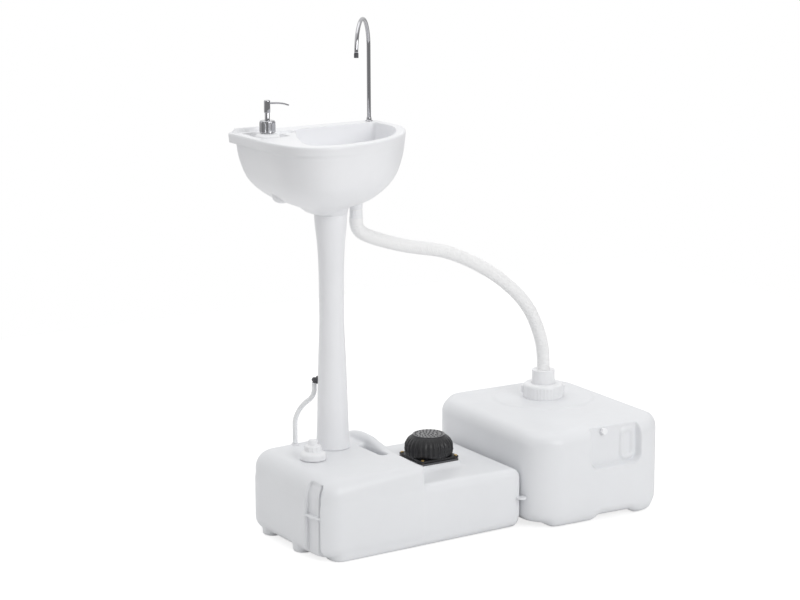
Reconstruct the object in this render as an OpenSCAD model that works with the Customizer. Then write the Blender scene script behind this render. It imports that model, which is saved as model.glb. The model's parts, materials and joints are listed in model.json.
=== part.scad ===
// Portable camp wash stand: a fresh-water base tank with a foot pump, a hollow
// column, a D-shaped basin with a gooseneck tap and a soap dispenser, and a
// waste-water tank fed by a drain hose. Millimetres, +Z up, floor at z = 0.

/* [Base tank] */
// Length of the fresh-water tank, left to right
base_l = 470; // [450:5:500]
// Depth of the fresh-water tank, front to back
base_d = 305; // [300:5:330]
// Height of the high left part that carries the column
base_h = 167; // [162:1:180]
// Height of the low shelf that carries the foot pump
shelf_h = 125; // [120:1:130]
// Wall thickness of the blow-moulded bodies
wall = 3.5; // [3:0.5:4]
// Radius of the upright corners on the left
corner_r = 50; // [44:1:54]

/* [Column] */
// Distance of the column's axis from the tank's left side
column_x = 154; // [150:1:158]
// Distance of the column's axis from the tank's front
column_y = 220; // [216:1:222]
// Radius of the column where it stands on the tank
column_foot_r = 34; // [33:0.5:36]
// Radius of the column at its waist
column_waist_r = 25; // [24:0.5:27]

/* [Basin] */
// Height of the basin's rim above the floor
rim_z = 812; // [800:1:830]
// Width of the basin over its rim
basin_w = 344; // [340:2:350]
// Distance of the basin's back edge from the tank's front
basin_back = 334; // [332:1:338]
// Thickness of the rim at the soap deck
lip_h = 19; // [16:1:22]

/* [Tap] */
// Height of the top of the gooseneck above the floor
tap_top = 1030; // [1010:1:1060]
// Radius of the gooseneck's arch on its centre line
arch_r = 62; // [56:1:68]
// Radius of the tap's tube
tap_tube_r = 4; // [3.8:0.1:4.2]

/* [Waste tank] */
// Width of the waste tank
waste_w = 330; // [320:2:340]
// Depth of the waste tank
waste_d = 415; // [405:1:425]
// Height of the waste tank
waste_h = 198; // [194:1:204]
// Gap between the two tanks where they stand side by side
tank_gap = 3; // [2:0.5:6]
// Angle that the waste tank stands turned by
waste_turn = 1.5; // [0:0.5:2]

/* [Hose] */
// Outside radius of the drain hose over its crests
hose_r = 14; // [13:0.5:15]

/* [Hidden] */

seat = 0.05;          // gap between pieces that bear on each other
run = 0.3;            // gap beside pieces that move past each other
eps = 0.01;

// ---- placing -------------------------------------------------------------
waste_r = 70;
waste_half_x = (waste_w / 2 - waste_r) * cos(waste_turn)
    + (waste_d / 2 - waste_r) * sin(waste_turn) + waste_r;
basin_over = basin_w / 2 - column_x;
span_x = basin_over + base_l + tank_gap + 2 * waste_half_x;
base_x = basin_over - span_x / 2;
base_y = -155;
waste_x = span_x / 2 - waste_half_x;

module at_base() {
    translate([base_x, base_y, 0]) children();
}

module at_waste() {
    translate([waste_x, 0, 0]) rotate([0, 0, -waste_turn]) children();
}

// ---- shared shapes ---------------------------------------------------------
// A closed body through rows of points that run counterclockwise, lowest first.
module stack(rows) {
    n = len(rows[0]);
    m = len(rows);
    points = [for (row = rows) each row];
    sides = [for (i = [0:m - 2]) for (k = [0:n - 1])
        each [[i * n + k, (i + 1) * n + k, i * n + (k + 1) % n],
              [i * n + (k + 1) % n, (i + 1) * n + k, (i + 1) * n + (k + 1) % n]]];
    ends = [[for (k = [0:n - 1]) k], [for (k = [n - 1:-1:0]) (m - 1) * n + k]];
    polyhedron(points = points, faces = concat(sides, ends));
}

// One upright corner as seven points on its arc, set in by t from the sides.
function corner_arc(x, y, i, r, t, z) = let (q = max(r - t, 1), sx = [1, -1, -1, 1][i], sy = [1, 1, -1, -1][i])
    [for (k = [0:6]) [x + sx * (t + q) + q * cos(180 + 90 * i + 15 * k),
        y + sy * (t + q) + q * sin(180 + 90 * i + 15 * k), z]];

// A row round all four corners: xs, ys, r per corner; the inset t and height z
// follow a fillet of radius f per corner at the angle a.
function block_row(xs, ys, r, f, a, z, up) =
    [for (i = [0:3]) each corner_arc(xs[i], ys[i], i, r[i], f[i] * (1 - cos(a)), z + up * f[i] * (1 - sin(a)))];

// A block whose four upright corners each have their own radius r, top
// fillet rt and bottom fillet rb, in the order front left, front right,
// back right, back left.
module corner_block(xs, ys, z0, z1, r, rt, rb) {
    stack(concat([for (a = [90:-22.5:0]) block_row(xs, ys, r, rb, a, z0, 1)],
        [for (a = [0:22.5:90]) block_row(xs, ys, r, rt, a, z1, -1)]));
}

module soft_block(x0, x1, y0, y1, z0, z1, r, rt, rb) {
    corner_block([x0, x1, x1, x0], [y0, y0, y1, y1], z0, z1, r, rt, rb);
}

module ring(ro, ri, z0, z1) {
    difference() {
        translate([0, 0, z0]) cylinder(r = ro, h = z1 - z0, $fn = 96);
        translate([0, 0, z0 - 1]) cylinder(r = ri, h = z1 - z0 + 2, $fn = 96);
    }
}

module disc(r, z0, z1) {
    translate([0, 0, z0]) cylinder(r = r, h = z1 - z0, $fn = 96);
}

// A square plate with rounded corners.
module square_plate(half, r, z0, z1) {
    translate([-half + r, -half, z0]) cube([2 * half - 2 * r, 2 * half, z1 - z0]);
    translate([-half, -half + r, z0]) cube([2 * half, 2 * half - 2 * r, z1 - z0]);
    for (x = [-1, 1])
        for (y = [-1, 1])
            translate([x * (half - r), y * (half - r), z0]) cylinder(r = r, h = z1 - z0, $fn = 48);
}

// Corner cutting: each pass replaces a corner by two points on its edges.
function cut_closed(p) = [for (i = [0:len(p) - 1])
    each [0.75 * p[i] + 0.25 * p[(i + 1) % len(p)], 0.25 * p[i] + 0.75 * p[(i + 1) % len(p)]]];
function cut_open(p) = concat([p[0]],
    [for (i = [0:len(p) - 2]) each [0.75 * p[i] + 0.25 * p[i + 1], 0.25 * p[i] + 0.75 * p[i + 1]]],
    [p[len(p) - 1]]);
function shrink(p, c, s) = [for (q = p) c + s * (q - c)];

// A round tube swept along a path; ref is never parallel to the path.
function unit(v) = v / norm(v);
function tangent(p, i) = unit(p[min(i + 1, len(p) - 1)] - p[max(i - 1, 0)]);
function side_of(p, i, ref) = unit(cross(tangent(p, i), ref));
function ring_points(p, i, r, n, ref) = let (u = side_of(p, i, ref), v = cross(tangent(p, i), u))
    [for (k = [0:n - 1]) p[i] + r * (cos(360 * k / n) * u + sin(360 * k / n) * v)];

module sweep(p, r, n, ref) {
    m = len(p);
    points = [for (i = [0:m - 1]) each ring_points(p, i, r, n, ref)];
    sides = [for (i = [0:m - 2]) for (k = [0:n - 1])
        each [[i * n + k, i * n + (k + 1) % n, (i + 1) * n + k],
              [i * n + (k + 1) % n, (i + 1) * n + (k + 1) % n, (i + 1) * n + k]]];
    ends = [[for (k = [n - 1:-1:0]) k], [for (k = [0:n - 1]) (m - 1) * n + k]];
    polyhedron(points = points, faces = concat(sides, ends));
}

// A coil spring with its end turns inside z0 to z1.
module coil(cx, cy, big_r, wire_r, z0, z1, turns) {
    steps = turns * 14;
    path = [for (i = [0:steps]) [cx + big_r * cos(360 * i / 14), cy + big_r * sin(360 * i / 14),
        z0 + wire_r + (z1 - z0 - 2 * wire_r) * i / steps]];
    sweep(path, wire_r, 6, [0, 0, 1]);
}

// ---- base tank -------------------------------------------------------------
base_foot = 8;
step_front = 240;     // where the high part ends at the front
step_back = 252;      // and at the back
notch_x = 8;          // corner channel for the strap lug
notch_y0 = 23;
notch_y1 = 66;
groove_x = 19;        // the deeper groove along its front side
groove_w = 5;
lug_z = 86;
lug_t = 5;

module base_high(t) {
    corner_block([t, step_front - t, step_back - t, t], [t, t, base_d - t, base_d - t],
        base_foot + t, base_h - t, [corner_r - t, 12 - t, 26 - t, corner_r - t],
        [46 - t, 12 - t, 12 - t, 40 - t], [22 - t, 22 - t, 22 - t, 22 - t]);
}

module base_low(t) {
    soft_block(t, base_l - t, t, base_d - t, base_foot + t, shelf_h - t,
        [corner_r - t, 14 - t, 30 - t, corner_r - t],
        [20 - t, 20 - t, 14 - t, 14 - t], [22 - t, 30 - t, 26 - t, 22 - t]);
}

module foot_pad(x, y, r) {
    translate([x, y, 0]) rotate_extrude($fn = 64) polygon([[0, 0], [r - 6, 0], [r - 2, 2],
        [r, 6], [r, 22], [0, 22]]);
}

// ---- carry handle and finger slot
slot_x0 = 205;
slot_x1 = 222;
slot_y0 = 114;
slot_y1 = 208;
slot_z = 130;
slot_end = (slot_x1 - slot_x0) / 2;
bar_x = 234;

// ---- foot pump
pump_x = 331;
pump_y = 135;
plate_half = 45;
boss_top = 135;
boss_half = 48;
boss_lip = 4.5;         // low wall round the pump's flanges
screw_c = 39.5;         // screws lie this far from the pump's axis in x and y
screw_r = 1.6;
gasket_t = 1.5;
housing_t = 3;
dome_flange_t = 2;
plate_t = 3.5;
z_gasket = boss_top + seat;
z_housing = z_gasket + gasket_t + seat;
z_dome = z_housing + housing_t + seat;
z_plate = z_dome + dome_flange_t + seat;
plate_top = z_plate + plate_t;
cup_r = 38;
cup_wall = 2.5;
cup_floor = 100;
port_x = 15;
dome_top = 187;

// ---- fill port
fill_x = 74;
fill_y = 162;
fill_neck_r = 22;
fill_bore_r = 19.5;
fill_neck_top = base_h + 4.5;
fill_recess_r = 31;
fill_recess = 2;

// ---- column socket and tube gland
socket_r = 30.3;
socket_floor = 128;
gland_x = 98;
gland_y = base_d - 28;
gland_hole_r = 6;

module at_pump() {
    translate([pump_x, pump_y, 0]) children();
}

module screw_places() {
    for (x = [-1, 1])
        for (y = [-1, 1])
            translate([pump_x + x * screw_c, pump_y + y * screw_c, 0]) children();
}

module base_hollow() {
    difference() {
        union() {
            base_high(wall);
            base_low(wall);
        }
        translate([-10, notch_y0 - wall, -1])
            cube([notch_x + 10 + wall, notch_y1 - notch_y0 + 2 * wall, base_h + 2]);
        translate([-10, notch_y0 - wall, -1])
            cube([groove_x + 10 + wall, groove_w + 2 * wall, base_h + 2]);
        translate([slot_x0 - wall, slot_y0 - wall, slot_z - wall])
            cube([80, slot_y1 - slot_y0 + 2 * wall, base_h]);
        translate([column_x, column_y, 0]) disc(socket_r + wall, socket_floor - wall, base_h + 1);
        translate([fill_x, fill_y, 0]) disc(fill_recess_r + wall, base_h - fill_recess - wall, base_h + 1);
        screw_places() disc(5, boss_top - 24, boss_top + 1);
        translate([gland_x, gland_y, 0]) disc(13, base_h - 9, base_h + 1);
    }
    translate([fill_x, fill_y, 0]) disc(fill_bore_r, base_h - 20, base_h + 20);
    at_pump() disc(cup_r + run, shelf_h - 20, boss_top + 1);
    translate([gland_x, gland_y, 0]) disc(gland_hole_r, base_h - 20, base_h + 2);
}

// The bar arches up from the tank: height, half width, front end and back end.
bar_rows = [[slot_z + 18, 9.5, 110, 296], [slot_z + 20, 11.5, 108, 298], [base_h - 3, 12, 110, 300],
    [base_h + 1, 11.8, 122, 298], [base_h + 4, 11.5, 150, 294], [base_h + 7, 11, 172, 286],
    [base_h + 10, 10, 186, 276], [base_h + 13, 8, 199, 262], [base_h + 14.6, 5.5, 212, 252], [base_h + 15.2, 3, 222, 244]];

module handle_bar() {
    stack([for (q = bar_rows) [for (i = [0:3]) each corner_arc([bar_x - q[1], bar_x + q[1], bar_x + q[1], bar_x - q[1]][i],
        [q[2], q[2], q[3], q[3]][i], i, q[1] - 0.4, 0, q[0])]]);
}

module base_tank() {
    color("whitesmoke") at_base() difference() {
        union() {
            base_high(0);
            base_low(0);
            // front sill
            soft_block(30, base_l - 0.5, 0.5, 44, 0, 60, [24, 16, 8, 8], [8, 8, 8, 8], [5, 30, 30, 5]);
            handle_bar();
            soft_block(pump_x - boss_half, pump_x + boss_half, pump_y - boss_half,
                pump_y + boss_half, shelf_h - 30, boss_top + boss_lip, [8, 8, 8, 8], [1.2, 1.2, 1.2, 1.2], [1, 1, 1, 1]);
            foot_pad(22, 112, 22);
            foot_pad(24, 240, 22);
            foot_pad(base_l - 60, base_d - 50, 30);
            // strap lugs of the two front corners
            translate([21.5, 46, lug_z]) cylinder(r = 23, h = lug_t, $fn = 64);
            translate([base_l - 5, -5, 63]) cylinder(r = 10.5, h = 4, $fn = 64);
            // threaded neck of the fill port
            translate([fill_x, fill_y, 0]) disc(fill_neck_r, base_h - 6, fill_neck_top);
        }
        base_hollow();
        // corner channel, above and below the lug
        for (q = [[-1, lug_z], [lug_z + lug_t, base_h - 18]]) {
            translate([-10, notch_y0, q[0]]) cube([notch_x + 10, notch_y1 - notch_y0, q[1] - q[0]]);
            translate([-10, notch_y0, q[0]]) cube([groove_x + 10, groove_w, q[1] - q[0]]);
        }
        // finger slot and the opening under the bar
        translate([slot_x0, slot_y0 + slot_end, slot_z]) cube([slot_x1 - slot_x0, slot_y1 - slot_y0 - 2 * slot_end, base_h]);
        for (y = [slot_y0 + slot_end, slot_y1 - slot_end])
            translate([slot_x0 + slot_end, y, slot_z]) cylinder(r = slot_end, h = base_h, $fn = 48);
        at_pump() square_plate(plate_half + run, 5 + run, boss_top, boss_top + boss_lip + 1);
        translate([slot_x0 + 5, slot_y0 + 8, slot_z]) cube([70, slot_y1 - slot_y0 - 16, 16]);
        // column socket
        translate([column_x, column_y, 0]) disc(socket_r, socket_floor, base_h + 1);
        // recess round the fill neck
        translate([fill_x, fill_y, 0]) ring(fill_recess_r, fill_neck_r, base_h - fill_recess, base_h + 1);
        // screw holes of the pump
        screw_places() disc(screw_r, boss_top - 20, boss_top + 1);
    }
}

module fill_gasket() {
    color("gray") at_base() translate([fill_x, fill_y, 0])
        ring(fill_neck_r + 0.3, fill_bore_r + 0.4, fill_neck_top + seat, fill_neck_top + 1.5);
}

fill_lid_z = fill_neck_top + 1.5 + seat;

module fill_cap() {
    color("white") at_base() translate([fill_x, fill_y, 0]) {
        difference() {
            union() {
                disc(26.4, base_h + 1, base_h + 10);
                translate([0, 0, base_h + 10]) cylinder(r1 = 26.4, r2 = 24, h = 4, $fn = 96);
                translate([0, 0, base_h + 14]) cylinder(r1 = 24, r2 = 18, h = 3.5, $fn = 96);
                disc(17, base_h + 17, base_h + 28);
                translate([0, 0, base_h + 28]) cylinder(r1 = 17, r2 = 15, h = 2, $fn = 96);
                disc(10, base_h + 29, base_h + 38);
                translate([0, 0, base_h + 38]) cylinder(r1 = 10, r2 = 7, h = 3, $fn = 96);
                for (a = [0:30:330])
                    rotate([0, 0, a]) translate([15, -1.2, base_h + 16]) cube([3, 2.4, 11]);
            }
            disc(fill_neck_r + 0.6, base_h, fill_lid_z);
            disc(12, fill_lid_z - 1, base_h + 25);
        }
        // sealing spigot in the neck's bore
        ring(fill_bore_r - 0.2, fill_bore_r - 2.2, base_h - 4, fill_lid_z + 1);
    }
}

module tube_gland() {
    color("white") at_base() translate([gland_x, gland_y, 0]) difference() {
        union() {
            disc(7.5, base_h + seat, base_h + 3);
            disc(3.4, base_h + 3, base_h + 16);
            disc(gland_hole_r - 0.1, base_h - 9, base_h + 1);
            disc(3.4, base_h - 24, base_h - 8);
        }
        disc(2.2, base_h - 26, base_h + 18);
    }
}

module pump_hole(r, z0, z1) {
    for (x = [-1, 1])
        for (y = [-1, 1])
            translate([x * screw_c, y * screw_c, 0]) disc(r, z0, z1);
}

module pump_gasket() {
    color("dimgray") at_base() at_pump() difference() {
        square_plate(plate_half, 5, z_gasket, z_gasket + gasket_t);
        disc(cup_r + run, z_gasket - 1, z_gasket + 3);
        pump_hole(screw_r + 0.3, z_gasket - 1, z_gasket + 3);
    }
}

module pump_housing() {
    color("gray") at_base() at_pump() difference() {
        union() {
            square_plate(plate_half, 5, z_housing, z_housing + housing_t);
            disc(cup_r, cup_floor, z_housing + 1);
            for (x = [-port_x, port_x])
                translate([x, 0, 0]) disc(4, cup_floor - 14, cup_floor + 1);
            translate([port_x, 0, 0]) disc(9, cup_floor - 6, cup_floor + 1);
        }
        disc(cup_r - cup_wall, cup_floor + 3, z_housing + 10);
        for (x = [-port_x, port_x])
            translate([x, 0, 0]) disc(2.5, cup_floor - 16, cup_floor + 5);
        translate([port_x, 0, 0]) disc(5, cup_floor - 3, cup_floor + 1.5);
        pump_hole(screw_r + 0.3, z_housing - 1, z_housing + 10);
    }
}

module inlet_valve() {
    color("dimgray") at_base() at_pump() translate([-port_x, 0, 0]) {
        disc(8, cup_floor + 3 + seat, cup_floor + 4.2);
        disc(2.3, cup_floor - 2, cup_floor + 4);
    }
}

module outlet_valve() {
    color("silver") at_base() at_pump()
        translate([port_x, 0, cup_floor - 3 + 2.2]) sphere(r = 3.3, $fn = 48);
}

module pump_spring() {
    color("silver") at_base()
        coil(pump_x, pump_y, 27, 1.3, cup_floor + 3 + seat, dome_top - 3 - seat, 7);
}

dome_neck_r = 40.5;
dome_r = 49;

module dome_profile(t) {
    polygon([[0, dome_top - t], [33, dome_top - t], [39 - 0.6 * t, dome_top - 3.5 - t],
        [44.5 - 0.9 * t, dome_top - 9.5 - 0.5 * t], [47.8 - t, dome_top - 18], [dome_r - t, dome_top - 28],
        [dome_r - t, z_plate + 9 + t / 2], [dome_neck_r - t, z_plate + 7 + t / 2],
        [dome_neck_r - t, z_dome - (t > 0 ? 1 : 0)], [0, z_dome - (t > 0 ? 1 : 0)]]);
}

module pump_dome() {
    color("black") at_base() at_pump() {
        difference() {
            union() {
                rotate_extrude($fn = 96) dome_profile(0);
                square_plate(plate_half, 5, z_dome, z_dome + dome_flange_t);
            }
            rotate_extrude($fn = 96) dome_profile(3);
            pump_hole(screw_r + 0.3, z_dome - 1, z_dome + 10);
        }
    }
}

module pump_tread() {
    color("black") at_base() at_pump() {
        disc(33, dome_top + seat, dome_top + 1.6);
        for (k = [0:2])
            for (a = [0:360 / (8 + 7 * k):359])
                rotate([0, 0, a]) translate([10 + 9 * k, 0, dome_top + 1])
                    cylinder(r = 1.6, h = 2, $fn = 12);
        disc(1.6, dome_top + 1, dome_top + 3);
    }
}

module pump_plate() {
    color("black") at_base() at_pump() difference() {
        square_plate(plate_half, 5, z_plate, plate_top);
        disc(dome_neck_r + run, z_plate - 1, plate_top + 1);
        pump_hole(screw_r + 0.3, z_plate - 1, plate_top + 1);
    }
}

module pump_screws() {
    color("goldenrod") at_base() screw_places() {
        difference() {
            disc(3.4, plate_top + seat, plate_top + 2);
            translate([-3, -0.5, plate_top + 1.2]) cube([6, 1, 2]);
            translate([-0.5, -3, plate_top + 1.2]) cube([1, 6, 2]);
        }
        disc(screw_r - 0.05, boss_top - 19, plate_top + 1);
    }
}

suction_end = 24;

module suction_tube() {
    color("white") at_base() translate([pump_x - port_x, pump_y, 0])
        ring(5.5, 4 + seat, suction_end, cup_floor - 3);
}

module suction_filter() {
    color("white") at_base() translate([pump_x - port_x, pump_y, 0]) difference() {
        union() {
            disc(11, base_foot + wall + 1, suction_end + 8);
            disc(8, suction_end + 7, suction_end + 14);
        }
        disc(5.5 + seat, suction_end - seat, suction_end + 20);
        disc(9, base_foot + wall + 3, suction_end - 3);
        for (a = [0:45:315])
            rotate([0, 0, a]) translate([6, -1, base_foot + wall + 4]) cube([8, 2, 7]);
        disc(3.5, base_foot + wall + 4, suction_end);
    }
}

delivery_path = cut_open(cut_open([[pump_x + port_x, pump_y, cup_floor - 6 - seat],
    [pump_x + port_x, pump_y, 66], [pump_x + 10, pump_y + 40, 62], [292, 215, 66],
    [200, gland_y - 11, 72], [gland_x + 22, gland_y - 1, 76], [gland_x, gland_y, 96], [gland_x, gland_y, base_h - 10]]));

module delivery_tube() {
    color("white") at_base() difference() {
        sweep(delivery_path, 5.8, 12, [0.6, 0.8, 0]);
        translate([pump_x + port_x, pump_y, 0]) disc(4 + seat, cup_floor - 14 - seat, cup_floor);
        translate([gland_x, gland_y, 0]) disc(3.4 + seat, base_h - 24 - seat, base_h);
    }
}

// ---- column ----------------------------------------------------------------
neck_z = rim_z - 162;
column_top = neck_z + 12;
spigot_r = 30;
top_spigot_r = 30.6;
// height and radius of the outside, foot to top
column_line = [[base_h + seat, column_foot_r], [base_h + 18, column_foot_r - 0.6],
    [220, 31.8], [288, 30], [352, 28], [400, 26], [440, column_waist_r],
    [520, column_waist_r + 0.3], [560, column_waist_r + 1.4], [neck_z - 60, 28.2], [neck_z - 38, 30.4],
    [neck_z - 24, 32], [neck_z - 12, 32.8], [neck_z - seat, 33.2]];

fit_z = 306;          // height of the tube fitting on the column
fit_dir = [-0.72, 0.694];
fit_r = 38;           // distance of the outside barb from the column's axis
fit_turn = 136;       // direction of the fitting seen from above

module column() {
    n = len(column_line);
    color("whitesmoke") at_base() translate([column_x, column_y, 0]) difference() {
        union() {
            rotate_extrude($fn = 96) polygon(concat([[0, base_h + seat]],
                [for (q = column_line) [q[1], q[0]]], [[0, neck_z - seat]]));
            disc(spigot_r, socket_floor + seat, base_h + 2);
            disc(top_spigot_r, neck_z - 2, column_top);
        }
        rotate_extrude($fn = 96) polygon(concat([[0, base_h + 4]],
            [for (q = column_line) [q[1] - wall - 0.5, q[0] + 2]], [[0, neck_z]]));
        disc(spigot_r - wall, socket_floor - 1, base_h + 6);
        disc(top_spigot_r - wall, neck_z - 4, column_top + 1);
        rotate([0, 0, fit_turn]) translate([20, 0, fit_z]) rotate([0, 90, 0])
            cylinder(r = 5.2, h = 20, $fn = 48);
    }
}

module column_fitting() {
    color("gray") at_base() translate([column_x, column_y, 0]) rotate([0, 0, fit_turn]) difference() {
        union() {
            translate([18, 0, fit_z]) rotate([0, 90, 0]) cylinder(r = 5.1, h = fit_r - 18, $fn = 48);
            translate([fit_r, 0, fit_z]) sphere(r = 5.1, $fn = 48);
            translate([fit_r, 0, fit_z - 15]) cylinder(r = 3.4, h = 15, $fn = 48);
            translate([30.3, 0, fit_z]) rotate([0, 90, 0]) cylinder(r = 8, h = 2.5, $fn = 48);
        }
        translate([17, 0, fit_z]) rotate([0, 90, 0]) cylinder(r = 2.2, h = fit_r - 17, $fn = 32);
        translate([fit_r, 0, fit_z - 16]) cylinder(r = 2.2, h = 17, $fn = 32);
    }
}

fit_x = column_x + fit_r * cos(fit_turn);
fit_y = column_y + fit_r * sin(fit_turn);
water_path = cut_open(cut_open([[gland_x, gland_y, base_h + 3 + seat], [gland_x, gland_y, 196],
    [gland_x + 1, gland_y + 1, 224], [gland_x + 13, gland_y - 7, 250], [fit_x, fit_y, 272], [fit_x, fit_y, fit_z - 6]]));

module water_tube() {
    color("white") at_base() difference() {
        sweep(water_path, 5, 12, [0.69, 0.72, 0]);
        translate([gland_x, gland_y, 0]) disc(3.4 + seat, base_h, base_h + 16 + seat);
        translate([fit_x, fit_y, 0]) disc(3.4 + seat, fit_z - 15 - seat, fit_z);
    }
}

// ---- tap position and riser --------------------------------------------------
tap_x = 304;
tap_y = 318;
coupling_z0 = rim_z - 34;
coupling_z1 = rim_z - 16;
tail_z = rim_z - 24;
riser_path = cut_open(cut_open([[column_x + 17.6 * cos(fit_turn), column_y + 17.6 * sin(fit_turn), fit_z],
    [column_x + 6 * cos(fit_turn), column_y + 6 * sin(fit_turn), fit_z],
    [column_x, column_y, 330], [column_x, column_y, 440], [column_x, column_y, 560],
    [column_x, column_y + 6, neck_z - 14], [column_x, column_y + 18, neck_z + 6],
    [column_x + 1, column_y + 27, neck_z + 23], [column_x + 6, column_y + 44, neck_z + 26],
    [column_x + 18, column_y + 58, neck_z + 36], [column_x + 36, column_y + 68, neck_z + 52],
    [column_x + 64, column_y + 76, neck_z + 72], [column_x + 100, column_y + 84, neck_z + 95],
    [tap_x - 18, tap_y - 6, rim_z - 46], [tap_x, tap_y, rim_z - 40], [tap_x, tap_y, tail_z - seat]]));

module riser_tube() {
    color("white") at_base() sweep(riser_path, 4, 10, [0.7, -0.7, 0]);
}

// ---- basin -------------------------------------------------------------------
left = column_x - basin_w / 2;
right = left + basin_w;
bowl_left = left + 16;
bowl_c = [154, 240];
drain_x = 216;
drain_y = 225;
tail_r = 9.6;         // threaded tail of the strainer
drain_c = [drain_x, drain_y];
soap_x = 30;
soap_y = 250;
rim_line = cut_closed(cut_closed([[left + 22, basin_back], [left, basin_back], [left, basin_back - 22],
    [left, 116], [34, 44], [126, 42], [244, 94], [right + 4, 205], [right, basin_back - 22],
    [right, basin_back], [right - 22, basin_back]]));
bowl_line = [for (q = rim_line) [max(q[0], bowl_left), q[1]]];
open_line = cut_closed(cut_closed([[124, 300], [112, 288], [28, 112], [50, 70], [122, 67],
    [232, 104], [306, 212], [306, 280], [306, 300], [286, 300]]));

// depth below the rim and the share of the rim's size there
outside = [[162, 0.22], [152, 0.3], [144, 0.42], [134, 0.575], [122, 0.685], [106, 0.795],
    [88, 0.875], [70, 0.92], [45, 0.962], [20, 0.983]];
// height and share of the inside of the bowl
inside = [[rim_z - 137, 0.16], [rim_z - 134, 0.32], [rim_z - 125, 0.52], [rim_z - 107, 0.7],
    [rim_z - 77, 0.85], [rim_z - 42, 0.94], [rim_z - 8, 0.99], [rim_z + 2, 1.01]];

function row_at(p, c, s, z) = [for (q = shrink(p, c, s)) [q[0], q[1], z]];

module bowl_shell(k, t) {
    stack(concat([for (q = outside) row_at(bowl_line, bowl_c, k * q[1], rim_z - q[0] + t)],
        [row_at(bowl_line, bowl_c, k, rim_z - 3 - t)]));
}

module bowl_inside(grow, down) {
    stack([for (q = inside) row_at(open_line, drain_c, q[1] + grow, q[0] - down)]);
}

module rim() {
    stack([row_at(rim_line, bowl_c, 0.985, rim_z - lip_h), row_at(rim_line, bowl_c, 0.992, rim_z - lip_h + 4),
        row_at(rim_line, bowl_c, 0.998, rim_z - 7), row_at(rim_line, bowl_c, 0.993, rim_z - 2),
        row_at(rim_line, bowl_c, 0.98, rim_z)]);
}

tray_depth = 10;
well_r = 23.6;
well_floor = rim_z - 66;
well_low_r = 16.5;

// The well for the soap bottle, straight above and narrower towards its floor.
module well(t) {
    translate([soap_x, soap_y, 0]) rotate_extrude($fn = 96) polygon([[0, well_floor - t],
        [well_low_r + t, well_floor - t], [well_r + t, rim_z - 40], [well_r + t, rim_z - tray_depth], [0, rim_z - tray_depth]]);
}

module tray(t) {
    translate([left + 20 - t, 222 - t, rim_z - tray_depth - t])
        cube([62 + 2 * t, 78 + 2 * t, tray_depth + t + 2]);
}

module dish(t) {
    translate([92, 276, rim_z - 8 - t]) cylinder(r = 16 + t, h = 12 + t, $fn = 64);
    translate([78, 276, rim_z - 8 - t]) cylinder(r = 16 + t, h = 12 + t, $fn = 64);
}

module basin() {
    color("whitesmoke") at_base() difference() {
        union() {
            bowl_shell(1, 0);
            rim();
            well(3);
            // moulded boss low on the left of the bowl
            translate([56, 243, 0]) rotate_extrude($fn = 64) polygon([[0, rim_z - 139], [11, rim_z - 138.4],
                [16, rim_z - 136], [19, rim_z - 132], [20.4, rim_z - 126], [20.4, rim_z - 105], [0, rim_z - 105]]);
            translate([column_x, column_y, 0]) disc(34.5, neck_z, neck_z + 30);
            translate([drain_x, drain_y, 0]) disc(tail_r + 3.6, neck_z + 2, neck_z + 30);
            translate([drain_x, drain_y, 0]) disc(23.5, neck_z + 18, neck_z + 40);
            // towel rail along the back of the soap deck
            translate([left + 4, basin_back - 17, rim_z - 4]) cube([74, 10, 12]);
        }
        difference() {
            bowl_shell(0.97, 3);
            bowl_inside(0.03, 3);
            tray(3);
            dish(3);
            well(3);
            translate([column_x, column_y, 0]) ring(34.5, top_spigot_r + run / 2, neck_z, column_top + 2);
            translate([drain_x, drain_y, 0]) disc(14.2, 640, 690);
            translate([drain_x, drain_y, 0]) disc(23.5, neck_z + 18, neck_z + 40);
        }
        bowl_inside(0, 0);
        tray(0);
        dish(0);
        well(0);
        translate([soap_x, soap_y, 0]) disc(well_r, rim_z - tray_depth - 1, rim_z + 1);
        // column socket, open into the hollow for the riser
        translate([column_x, column_y, 0]) disc(top_spigot_r + run / 2, neck_z - 1, column_top + 2);
        // drain and tap holes
        translate([drain_x, drain_y, 0]) disc(tail_r + 0.1, neck_z - 10, neck_z + 40);
        translate([drain_x, drain_y, 0]) disc(20.3, rim_z - 139.5, neck_z + 40);
        translate([tap_x, tap_y, 0]) disc(6.1, rim_z - 20, rim_z + 2);
    }
}

// ---- soap dispenser ----------------------------------------------------------
soap_seat = rim_z - tray_depth;

module at_soap() {
    at_base() translate([soap_x, soap_y, 0]) children();
}

module soap_bottle() {
    color("white") at_soap() rotate_extrude($fn = 96) polygon([[0, well_floor + 4],
        [well_low_r - 1, well_floor + 4], [well_low_r + 0.5, well_floor + 6], [well_r - 0.8, rim_z - 39], [well_r - 0.8, soap_seat + seat],
        [25, soap_seat + seat], [25, soap_seat + 8], [22, soap_seat + 12.5], [15, soap_seat + 15.5],
        [12, soap_seat + 16], [12, soap_seat + 27], [10, soap_seat + 27], [10, soap_seat + 13],
        [21.5, soap_seat + 9], [21, soap_seat], [21, rim_z - 39], [well_low_r - 1.5, well_floor + 6.5], [0, well_floor + 6.5]]);
}

collar_z0 = soap_seat + 16.3;
collar_z1 = rim_z + 30;
barrel_z0 = rim_z - 39;
press_travel = 14;

module soap_barrel() {
    color("white") at_soap() difference() {
        union() {
            disc(11.5, soap_seat + 27 + seat, soap_seat + 29);
            disc(8, barrel_z0, soap_seat + 28);
            disc(3.6, barrel_z0 - 8, barrel_z0 + 1);
        }
        disc(5.6, barrel_z0 + 3, soap_seat + 30);
        disc(1.6, barrel_z0 - 10, barrel_z0 + 4);
    }
}

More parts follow.
